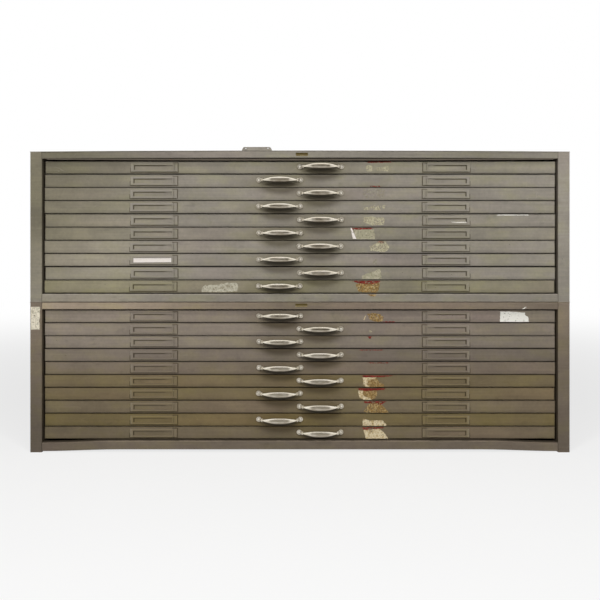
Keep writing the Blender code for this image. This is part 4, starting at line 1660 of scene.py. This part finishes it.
SCRAPS = (
    on_drawer(1, "red", Scrap.RED_TAPE, ((172, 11.8), (232, 12.6), (232, 17), (172, 17)), 0.5, 0.12),
    on_drawer(1, "glue_left", Scrap.GLUE,
              ((167, 4), (176, 7), (185, 4), (184, -10), (176, -12), (168, -8)), 1.2, 0.40),
    on_drawer(1, "glue_right", Scrap.GLUE,
              ((195, 0), (213, 1), (226, 4), (227, -10), (214, -9), (196, -7)), 1.2, 0.58),
    on_drawer(2, "red", Scrap.RED_TAPE, ((178, -12), (204, -12), (204, -16), (178, -16)), 0.8, 0.55),
    on_drawer(3, "smudge", Scrap.SMUDGE, ((160, 14), (218, 14), (215, -10), (162, -10)), 2.0, 0.62),
    on_drawer(4, "glue", Scrap.GLUE,
              ((161, 0), (177, 1), (182, 4), (219, 6), (216, -3), (202, -8), (163, -8)), 1.2, 0.50),
    on_drawer(5, "glue", Scrap.GLUE,
              ((163, 8), (181, 11), (194, 8), (212, 9), (216, 2), (213, -11), (184, -13), (161, -4)),
              1.4, 0.42),
    on_drawer(5, "worn", Scrap.LABEL, ((499, 13), (582, 13), (580, 17), (505, 17)), 0.5, 0.15),
    on_drawer(5, "sliver", Scrap.LABEL, ((380, -3), (431, -3.4), (431, -5.8), (395, -5.8)), 0.5, 0.1),
    on_drawer(6, "white", Scrap.CARD,
              ((128, 16), (131.6, 16), (144, -13), (134, -13)), 0.3, 0.0, curl=0.0008),
    on_drawer(6, "red", Scrap.RED_TAPE, ((131, 17), (187, 17), (182, 11), (133, 10)), 0.8, 0.25),
    on_drawer(6, "sticker", Scrap.STICKER, ((136, 11), (189, 12), (191, -14), (144, -14)), 0.8, 0.12),
    on_drawer(7, "glue", Scrap.GLUE,
              ((176, 3), (194, 10), (204, 17), (217, 15), (227, 0), (222, -10), (214, -14), (177, -9)),
              1.2, 0.30),
    on_drawer(7, "red", Scrap.RED_TAPE, ((194, 17), (215, 17), (212, 8), (199, 9)), 0.8, 0.55),
    on_drawer(8, "smudge", Scrap.SMUDGE, ((186, 0), (197, 4), (196, -12), (185, -11)), 1.0, 0.30),
    on_drawer(9, "paper", Scrap.STICKER,
              ((157, -14), (158, -5), (172, 1), (190, 6), (199, 12), (205, 12), (208, -14)), 0.8, 0.10),
    on_drawer(10, "ochre", Scrap.OCHRE,
              ((142, 6), (152, 9), (203, 11), (201, -7), (195, -16), (148, -13)), 0.9, 0.12),
    on_drawer(10, "red", Scrap.RED_TAPE,
              ((133, 14), (148, 17), (204, 17), (204, 12), (184, 6), (152, 8), (138, 12)), 0.9, 0.22, 0.0002),
    on_drawer(10, "pale", Scrap.PALE,
              ((-250, -14), (-250, -5), (-243, 4), (-217, 5), (-181, 10), (-162, 11), (-156, 3), (-157, -12),
               (-196, -14)), 1.4, 0.22),
    PaperScrap("scrap_rail_ochre", "upper_bottom_rail", Scrap.OCHRE,
               ((170, 10), (194, 10), (190, 3), (178, 4)), 0.9, 0.2),
    on_drawer(11, "tick", Scrap.CREAM, ((160.7, -9), (166, 2), (168.3, 1), (164, -10)), 0.3, 0.1),
    on_drawer(11, "ochre", Scrap.OCHRE,
              ((170, 7), (184, 9), (204, 6), (213, -2), (208, -14), (191, -14), (176, -6)), 1.3, 0.28),
    on_drawer(11, "red", Scrap.RED_TAPE, ((212, -12), (245, -12), (244, -16), (212, -16)), 0.7, 0.5),
    on_drawer(11, "label", Scrap.LABEL,
              ((509.4, 13), (545, 12), (573, 10), (572, 4), (581, -1), (582.5, -14), (508, -14)), 0.5, 0.02,
              curl=0.0004),
    on_drawer(12, "speck", Scrap.GLUE, ((176, -1), (184, -4), (182, -8), (176, -6)), 0.8, 0.2),
    on_drawer(13, "red", Scrap.RED_TAPE, ((172, 15), (183, 15), (179, 8), (176, 9)), 0.8, 0.1),
    on_drawer(14, "red", Scrap.RED_TAPE, ((151, 15), (210, 15), (209, 12), (152, 12)), 0.7, 0.5),
    on_drawer(15, "red", Scrap.RED_TAPE, ((173, 15), (228, 15), (227, 12), (175, 12)), 0.7, 0.6),
    on_drawer(16, "ochre", Scrap.OCHRE,
              ((160, 9), (193, 10), (202, -2), (215, -9), (212, -15), (168, -15), (162, -10)), 0.9, 0.12),
    on_drawer(16, "cream", Scrap.CREAM,
              ((159, 10), (194, 10), (190, 4), (174, 3), (170, -8), (176, -15), (167, -15), (161, -8)),
              0.8, 0.12, 0.0002),
    on_drawer(16, "red", Scrap.RED_TAPE,
              ((158, 15), (238, 15), (236, 13), (214, 10), (159, 9)), 0.8, 0.15, 0.0003),
    on_drawer(17, "ochre", Scrap.OCHRE,
              ((149, 8), (161, 10), (195, 9), (197, -2), (189, -14), (161, -15), (152, -9), (148, 0)),
              0.9, 0.10),
    on_drawer(17, "cream", Scrap.CREAM,
              ((148, 9), (162, 10), (159, 2), (163, -6), (176, -9), (184, -15), (161, -15), (152, -9),
               (148, 0)), 0.8, 0.12, 0.0002),
    on_drawer(17, "red", Scrap.RED_TAPE,
              ((148, 15), (218, 15), (214, 10), (168, 7), (149, 9)), 0.8, 0.15, 0.0003),
    on_drawer(18, "ochre", Scrap.OCHRE,
              ((173, 6), (181, 11), (203, 12), (216, -2), (226, -15), (181, -16), (161, -12)), 1.2, 0.22),
    on_drawer(18, "red", Scrap.RED_TAPE,
              ((162, 15), (222, 15), (214, 10), (204, 4), (196, 9), (164, 10)), 0.9, 0.40, 0.0002),
    on_drawer(19, "cream", Scrap.CREAM,
              ((160, 3), (177, -1), (209, -1), (220, -11), (219, -16), (158, -16)), 0.9, 0.04, curl=0.0004),
    on_drawer(20, "cream", Scrap.CREAM,
              ((161, 9), (203, 11), (217, -2), (226, -16), (167, -16)), 0.7, 0.04, curl=0.0004),
    on_drawer(20, "red", Scrap.RED_TAPE,
              ((158, 16), (218, 16), (209, 11), (176, 7), (160, 7)), 0.8, 0.35, 0.0003),
    PaperScrap("scrap_post_label", "lower_left_side", Scrap.MOTTLED,
               ((-680.4, 179), (-657.6, 179), (-657, 153), (-658.6, 143), (-657.4, 121), (-680.4, 121)),
               0.6, 0.05, curl=0.0003),
    PaperScrap("scrap_rail_mark", "lower_top_rail", Scrap.LABEL,
               ((561, -8), (570, -2), (574, -2), (565, -9)), 0.4, 0.0),
)


def grip_of(number: int) -> Pair:
    """Middle of a drawer's handle along x and z."""
    low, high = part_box(f"handle_{number:02d}")
    return (low.x + high.x) / 2, (low.z + high.z) / 2


def grip_above(number: int) -> Pair | None:
    """Middle of the handle that hangs over a drawer's face, or None under a rail."""
    under_rail = number in (UPPER_DRAWERS[0], LOWER_DRAWERS[0])
    return None if under_rail else grip_of(number - 1)


@dataclass(frozen=True)
class Drawer:
    """One drawer: its enamel, its card holders and its handle with two screws."""

    number: int
    tone: PaintTone

    @property
    def node(self) -> str:
        """Name of the drawer's CAD node and of its body."""
        return f"drawer_{self.number:02d}"

    @property
    def handle_node(self) -> str:
        """Name of the handle's CAD node."""
        return f"handle_{self.number:02d}"

    @property
    def section(self) -> str:
        """Section that the drawer belongs to."""
        return SECTIONS[0] if self.number in UPPER_DRAWERS else SECTIONS[1]

    def paint(self) -> None:
        """Paint the drawer's own node."""
        low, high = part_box(self.node)
        centre = (low + high) / 2
        enamel = Enamel(
            tone=self.tone,
            name=f"{self.node}_enamel",
            centre=tuple(centre),
            half_height=(high.z - low.z) / 2,
            half_width=(high.x - low.x) / 2,
            seed=self.number * 1.37,
            pools=UPPER_POOLS if self.section == SECTIONS[0] else LOWER_POOLS,
            touch=grip_of(self.number),
            overhang=grip_above(self.number),
            holders=(centre.x, centre.z),
            front=front_face(self.node),
        )
        node = frame["nodes"][self.node]
        Bench.dress(node, enamel.build())

    def add_holders(self, patterns: tuple[Piece, Piece], paint: bpy.types.Material) -> None:
        """Fit the left and right card holders as one pair.

        Args:
            patterns: The left and the right holder.
            paint: Enamel of the holders.
        """
        low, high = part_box(self.node)
        place = Vector(((low.x + high.x) / 2, front_face(self.node), (low.z + high.z) / 2))
        pair = [Bench.copy(pattern, f"{self.node}_holder", place) for pattern in patterns]
        holders = Bench.join(*pair)
        holders.name = holders.data.name = f"{self.node}_card_holders"
        Bench.dress(holders, paint)
        Bench.hand_over(holders, self.node, f"{self.section}_paint")

    def handle_place(self, handle: BowHandle) -> Vector:
        """Point on the front between the handle's feet, where its pattern's origin goes."""
        x, z = grip_of(self.number)
        return Vector((x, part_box(self.handle_node)[1].y + handle.foot_base, z))

    def add_handle(self, handle: BowHandle, pattern: Piece, nickel: bpy.types.Material) -> None:
        """Fit the casting of the handle.

        Args:
            handle: Sizes of the handle.
            pattern: Pattern of the casting.
            nickel: Its finish.
        """
        casting = Bench.copy(pattern, f"{self.handle_node}_casting", self.handle_place(handle))
        Bench.dress(casting, nickel)
        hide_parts(self.handle_node)
        Bench.hand_over(casting, self.node, "handle_metal")

    def add_screws(self, handle: BowHandle, pattern: Piece, steel: bpy.types.Material) -> None:
        """Fit the handle's two screws, each left at a turn of its own.

        Args:
            handle: Sizes of the handle.
            pattern: Pattern of a screw.
            steel: Its finish.
        """
        place = self.handle_place(handle)
        head = handle.foot_thickness - handle.recess_depth + handle.screw_lift
        pair = []
        for side in (-1, 1):
            spot = place + Vector((side * handle.span / 2, -head, 0.0))
            turn = self.number * 2.1 + side * 0.8
            pair.append(Bench.copy(pattern, f"{self.handle_node}_screw", spot, turn))
        screws = Bench.join(*pair)
        screws.name = screws.data.name = f"{self.handle_node}_screws"
        Bench.dress(screws, steel)
        Bench.hand_over(screws, self.node)


@dataclass(frozen=True)
class FiledCard:
    """Blank card left in the left holder of one drawer."""

    carrier: str = "drawer_08"
    width: float = 0.0966
    height: float = 0.0112
    thickness: float = 0.0004
    lean: float = 0.007
    stand_off: float = 0.0004
    bow: float = 0.0003
    steps: int = 16
    edge: float = 0.0001

    def build(self, finish: bpy.types.Material) -> None:
        """Model the card and slide it into its holder.

        Args:
            finish: Material of the card.
        """
        low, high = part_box(self.carrier)
        outer = (low.x + high.x) / 2 - (CardHolder.spacing + CardHolder.opening_width) / 2
        depth = front_face(self.carrier) - self.stand_off
        middle = Vector((outer + self.width / 2, depth, (low.z + high.z) / 2))
        half = Vector((self.width / 2, self.thickness / 2, self.height / 2))
        card = Bench.box(f"{self.carrier}_card", middle - half, middle + half)
        with Bench.shaping(card, Part.EDGES):
            Bench.choose(card, Part.EDGES, lambda edge: edge.calc_length() > self.width * 0.9)
            bpy.ops.mesh.subdivide(number_cuts=self.steps - 1)
            bpy.ops.mesh.select_mode(type="VERT")
            for step in range(self.steps + 1):
                here = middle.x - half.x + self.width * step / self.steps
                bow = self.bow * math.sin(math.pi * step / self.steps)
                Bench.choose(card, Part.VERTS, lambda vert: abs(vert.co.x - here) < self.width / 40)
                bpy.ops.transform.translate(value=(0.0, -bow, self.lean * (here - middle.x)))
        Bench.round_edges(card, self.edge, 1)
        Bench.soften(card)
        Bench.dress(card, finish)
        Bench.hand_over(card, self.carrier)


@dataclass(frozen=True)
class Casework:
    """Fixed sheet-metal nodes of one section."""

    section: str
    tone: PaintTone
    pools: tuple[Pool, ...]
    seed: float

    # How far each part's upper and lower rims are rubbed and carry a painted highlight.
    rubbed_shares: ClassVar[dict[str, float]] = {
        "top_rail": 0.6,
        "bottom_rail": 0.6,
        "left_side": 0.3,
        "right_side": 0.3,
        "top_panel": 0.2,
        "back_panel": 0.2,
        "bottom_pan": 0.1,
    }
    # How much further up the painted shade along a rail's lower edge reaches in its middle.
    hems: ClassVar[dict[str, float]] = {"upper_top_rail": 0.0003}

    def enamel(self, part: str, rubbed: float) -> bpy.types.Material:
        """Enamel for one part of the case.

        Args:
            part: The part's name without its section.
            rubbed: How far its upper and lower edges are rubbed and given a painted highlight.

        Returns:
            The finished material.
        """
        name = f"{self.section}_{part}"
        low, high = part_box(name)
        return Enamel(
            tone=self.tone,
            name=f"{name}_enamel",
            centre=tuple((low + high) / 2),
            half_height=(high.z - low.z) / 2,
            half_width=(high.x - low.x) / 2,
            seed=self.seed + len(part) * 0.61,
            pools=self.pools + CROWN_POOLS.get(name, ()),
            rubbed_edge=rubbed,
            hem=self.hems.get(name, 0.0),
            front=low.y,
        ).build()

    def build(self) -> None:
        """Paint the case and give the runner racks their steel."""
        for part, rubbed in self.rubbed_shares.items():
            node = frame["nodes"][f"{self.section}_{part}"]
            Bench.dress(node, self.enamel(part, rubbed))
            log.info("%s painted", node.name)
        steel = RUNNER_STEELS[self.section].build()
        for hand in HANDS:
            node = frame["nodes"][f"{self.section}_{hand}_runners"]
            Bench.dress(node, steel)
            log.info("%s dressed", node.name)


@dataclass(frozen=True)
class Lamp:
    """Soft rectangular lamp that faces the cabinet and leaves no mirror image."""

    name: str
    place: Triple
    size: Pair
    power: float
    aim: ClassVar[Triple] = (0.0, -0.5, 0.38)

    def build(self) -> None:
        """Hang the lamp."""
        place = Vector(self.place)
        facing = (Vector(self.aim) - place).to_track_quat("-Z", "Y").to_euler()
        Bench.put_down()
        bpy.ops.object.light_add(type="AREA", location=place, rotation=facing)
        lamp = bpy.context.active_object
        lamp.name = lamp.data.name = self.name
        lamp.visible_glossy = False
        lamp.data.shape = "RECTANGLE"
        lamp.data.size, lamp.data.size_y = self.size
        lamp.data.energy = self.power


LAMPS = (
    Lamp("left", (-1.35, -2.95, 1.25), (0.45, 0.45), 35.0),
    Lamp("right", (1.35, -2.95, 1.25), (0.45, 0.45), 34.0),
    Lamp("overhead", (-0.1, -2.0, 2.7), (1.6, 0.7), 28.0),
)


def seen_share(tree: bpy.types.NodeTree) -> Socket:
    """Share that is 1 for rays that show or mirror a thing and 0 for those that only light others.

    Args:
        tree: Nodes of a material or of the world.

    Returns:
        The share.
    """
    rays = tree.nodes.new("ShaderNodeLightPath")
    seen = rays.outputs["Is Camera Ray"]
    for kind in ("Is Glossy Ray", "Is Transmission Ray"):
        node = tree.nodes.new("ShaderNodeMath")
        node.operation = "MAXIMUM"
        tree.links.new(seen, node.inputs[0])
        tree.links.new(rays.outputs[kind], node.inputs[1])
        seen = node.outputs[0]
    return seen


@dataclass(frozen=True)
class Studio:
    """Pale floor, soft lamps and the camera at the photograph's angle."""

    distance: float = 1.802
    height: float = 0.531
    sideways: float = 0.0001
    focal_pixels: float = 712.9
    shift: float = -0.0962
    floor_size: float = 60.0
    floor_colour: Colour = (0.86, 0.86, 0.85)
    clear_radius: float = 4.5
    sky: float = 0.05
    sky_colour: Colour = (1.0, 0.99, 0.97)
    shown_colour: Colour = (1.0, 1.0, 1.0)
    bounce: Colour = (0.14, 0.137, 0.133)
    flag_place: Triple = (0.0, -3.3, 1.14)
    flag_size: Pair = (3.0, 1.60)
    flag_glow: Colour = (0.12, 0.112, 0.10)

    def floor(self) -> None:
        """Lay the floor, which keeps the shadow and fades to white far away."""
        Bench.put_down()
        bpy.ops.mesh.primitive_grid_add(x_subdivisions=8, y_subdivisions=8, size=self.floor_size)
        floor = Bench.settle("studio_floor")
        graph = Graph("studio_floor")
        far = graph.calc("SUBTRACT", 1.0, graph.patch(ORIGIN, (self.clear_radius,) * 3))
        grain = graph.cloud(graph.spot, 3.0, 3.0)
        colour = graph.shaded(self.floor_colour, graph.ramp(grain, 0.2, 0.8, 0.99, 1.01))
        seen = seen_share(graph.material.node_tree)
        graph.finish(graph.blend(seen, self.bounce, colour), 0.9, None, specular=0.2)
        glow = graph.nodes.new("ShaderNodeEmission")
        mixer = graph.nodes.new("ShaderNodeMixShader")
        graph.feed(mixer.inputs[0], graph.product(seen, graph.ramp(far, 0.0, 1.0, 0.72, 1.0)))
        graph.links.new(graph.shader.outputs[0], mixer.inputs[1])
        graph.links.new(glow.outputs[0], mixer.inputs[2])
        graph.show(mixer.outputs[0])
        Bench.dress(floor, graph.material)

    def sky_dome(self) -> None:
        """Light the world softly, and show it white where it is seen or mirrored."""
        world = bpy.data.worlds.new("studio")
        bpy.context.scene.world = world
        world.use_nodes = True
        nodes, links = world.node_tree.nodes, world.node_tree.links
        shown = nodes["Background"]
        shown.inputs["Color"].default_value = (*self.shown_colour, 1.0)
        lit = nodes.new("ShaderNodeBackground")
        lit.inputs["Color"].default_value = (*self.sky_colour, 1.0)
        lit.inputs["Strength"].default_value = self.sky
        mixer = nodes.new("ShaderNodeMixShader")
        links.new(seen_share(world.node_tree), mixer.inputs[0])
        links.new(lit.outputs[0], mixer.inputs[1])
        links.new(shown.outputs[0], mixer.inputs[2])
        links.new(mixer.outputs[0], nodes["World Output"].inputs["Surface"])

    def flag(self) -> None:
        """Stand a dim glowing flag behind the camera, seen only in mirrors: a painted reflection of the unlit
        room.
        """
        Bench.put_down()
        bpy.ops.mesh.primitive_grid_add(
            x_subdivisions=4, y_subdivisions=4, size=1, rotation=UPRIGHT, location=self.flag_place)
        bpy.context.active_object.scale = (*self.flag_size, 1.0)
        flag = Bench.settle("studio_flag")
        graph = Graph("studio_flag")
        glow = graph.nodes.new("ShaderNodeEmission")
        cloud = graph.cloud(graph.spot, 1.2, 3.0)
        graph.feed(glow.inputs["Color"], graph.shaded(self.flag_glow, graph.ramp(cloud, 0.3, 0.7, 0.7, 1.3)))
        graph.show(glow.outputs[0])
        Bench.dress(flag, graph.material)
        for kind in ("camera", "diffuse", "shadow", "transmission", "volume_scatter"):
            setattr(flag, f"visible_{kind}", False)

    def camera(self) -> None:
        """Set the camera level in front of the cabinet, with a small shift."""
        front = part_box("upper_left_side")[0].y
        Bench.put_down()
        place = (self.sideways, front - self.distance, self.height)
        bpy.ops.object.camera_add(location=place, rotation=UPRIGHT)
        camera = bpy.context.active_object
        camera.name = camera.data.name = "photo_camera"
        camera.data.sensor_width = SENSOR_WIDTH
        camera.data.lens = self.focal_pixels / IMAGE_WIDTH * SENSOR_WIDTH
        camera.data.shift_y = self.shift
        bpy.context.scene.camera = camera

    def build(self) -> None:
        """Set up the whole studio."""
        self.floor()
        self.sky_dome()
        self.flag()
        for lamp in LAMPS:
            lamp.build()
        self.camera()
        bpy.context.scene.view_settings.view_transform = "Standard"


AGED_DRAWERS = {
    PaintTone.UPPER_DRAB: (1, 6),
    PaintTone.UPPER_OLIVE: (10,),
    PaintTone.LOWER_PALE: (11, 12, 13),
    PaintTone.LOWER_MAUVE: (14,),
    PaintTone.LOWER_OLIVE: (16, 17),
    PaintTone.LOWER_BROWN: (18, 20),
    PaintTone.LOWER_AMBER: (19,),
}


def drawers() -> list[Drawer]:
    """List the drawers with the tone that each one's enamel has aged to."""
    tones = {number: PaintTone.UPPER_TAUPE for number in UPPER_DRAWERS}
    tones |= {number: PaintTone.LOWER_TAUPE for number in LOWER_DRAWERS}
    tones |= {number: tone for tone, numbers in AGED_DRAWERS.items() for number in numbers}
    return [Drawer(number, tone) for number, tone in tones.items()]


def build_cabinet() -> None:
    """Dress the frame and add every piece that the solids leave plain."""
    upper, lower = SECTIONS
    Casework(upper, PaintTone.UPPER_TAUPE, UPPER_POOLS, seed=5.1).build()
    Casework(lower, PaintTone.LOWER_TAUPE, LOWER_POOLS, seed=8.3).build()
    handle, holder = BowHandle(), CardHolder()
    casting, screw = handle.model(), handle.screw()
    holders = (holder.model(-1), holder.model(1))
    holder_paints = {tone: HolderPaint(tone).build() for tone in PaintTone}
    nickel, screw_steel = CastNickel().build(), SCREW_STEEL.build()
    for drawer in drawers():
        drawer.paint()
        drawer.add_holders(holders, holder_paints[drawer.tone])
        drawer.add_handle(handle, casting, nickel)
        drawer.add_screws(handle, screw, screw_steel)
    for pattern in (casting, screw, *holders):
        bpy.data.objects.remove(pattern)
    TopLug().build(Casework(upper, PaintTone.UPPER_TAUPE, UPPER_POOLS, seed=6.0).enamel("top_rail", 0.4))
    SaggingLip().build()
    BarePlate(upper, middle=0.0048, height_share=0.58).build()
    BarePlate(lower, middle=0.0034, height_share=0.62).build()
    scrap_finishes = {kind: kind.build() for kind in Scrap}
    FiledCard().build(scrap_finishes[Scrap.CARD])
    bodies = {node: body for body, nodes in frame["record"]["behaviour"]["bodies"].items() for node in nodes}
    for scrap in SCRAPS:
        scrap.build(scrap_finishes, bodies)


def main() -> None:
    """Build the looks of the cabinet and the studio."""
    logging.basicConfig(level=logging.INFO, format="%(message)s", force=True)
    noise.seed_set(NOISE_SEED)
    Bench.put_down()
    build_cabinet()
    Studio().build()


if __name__ == "__main__":
    main()
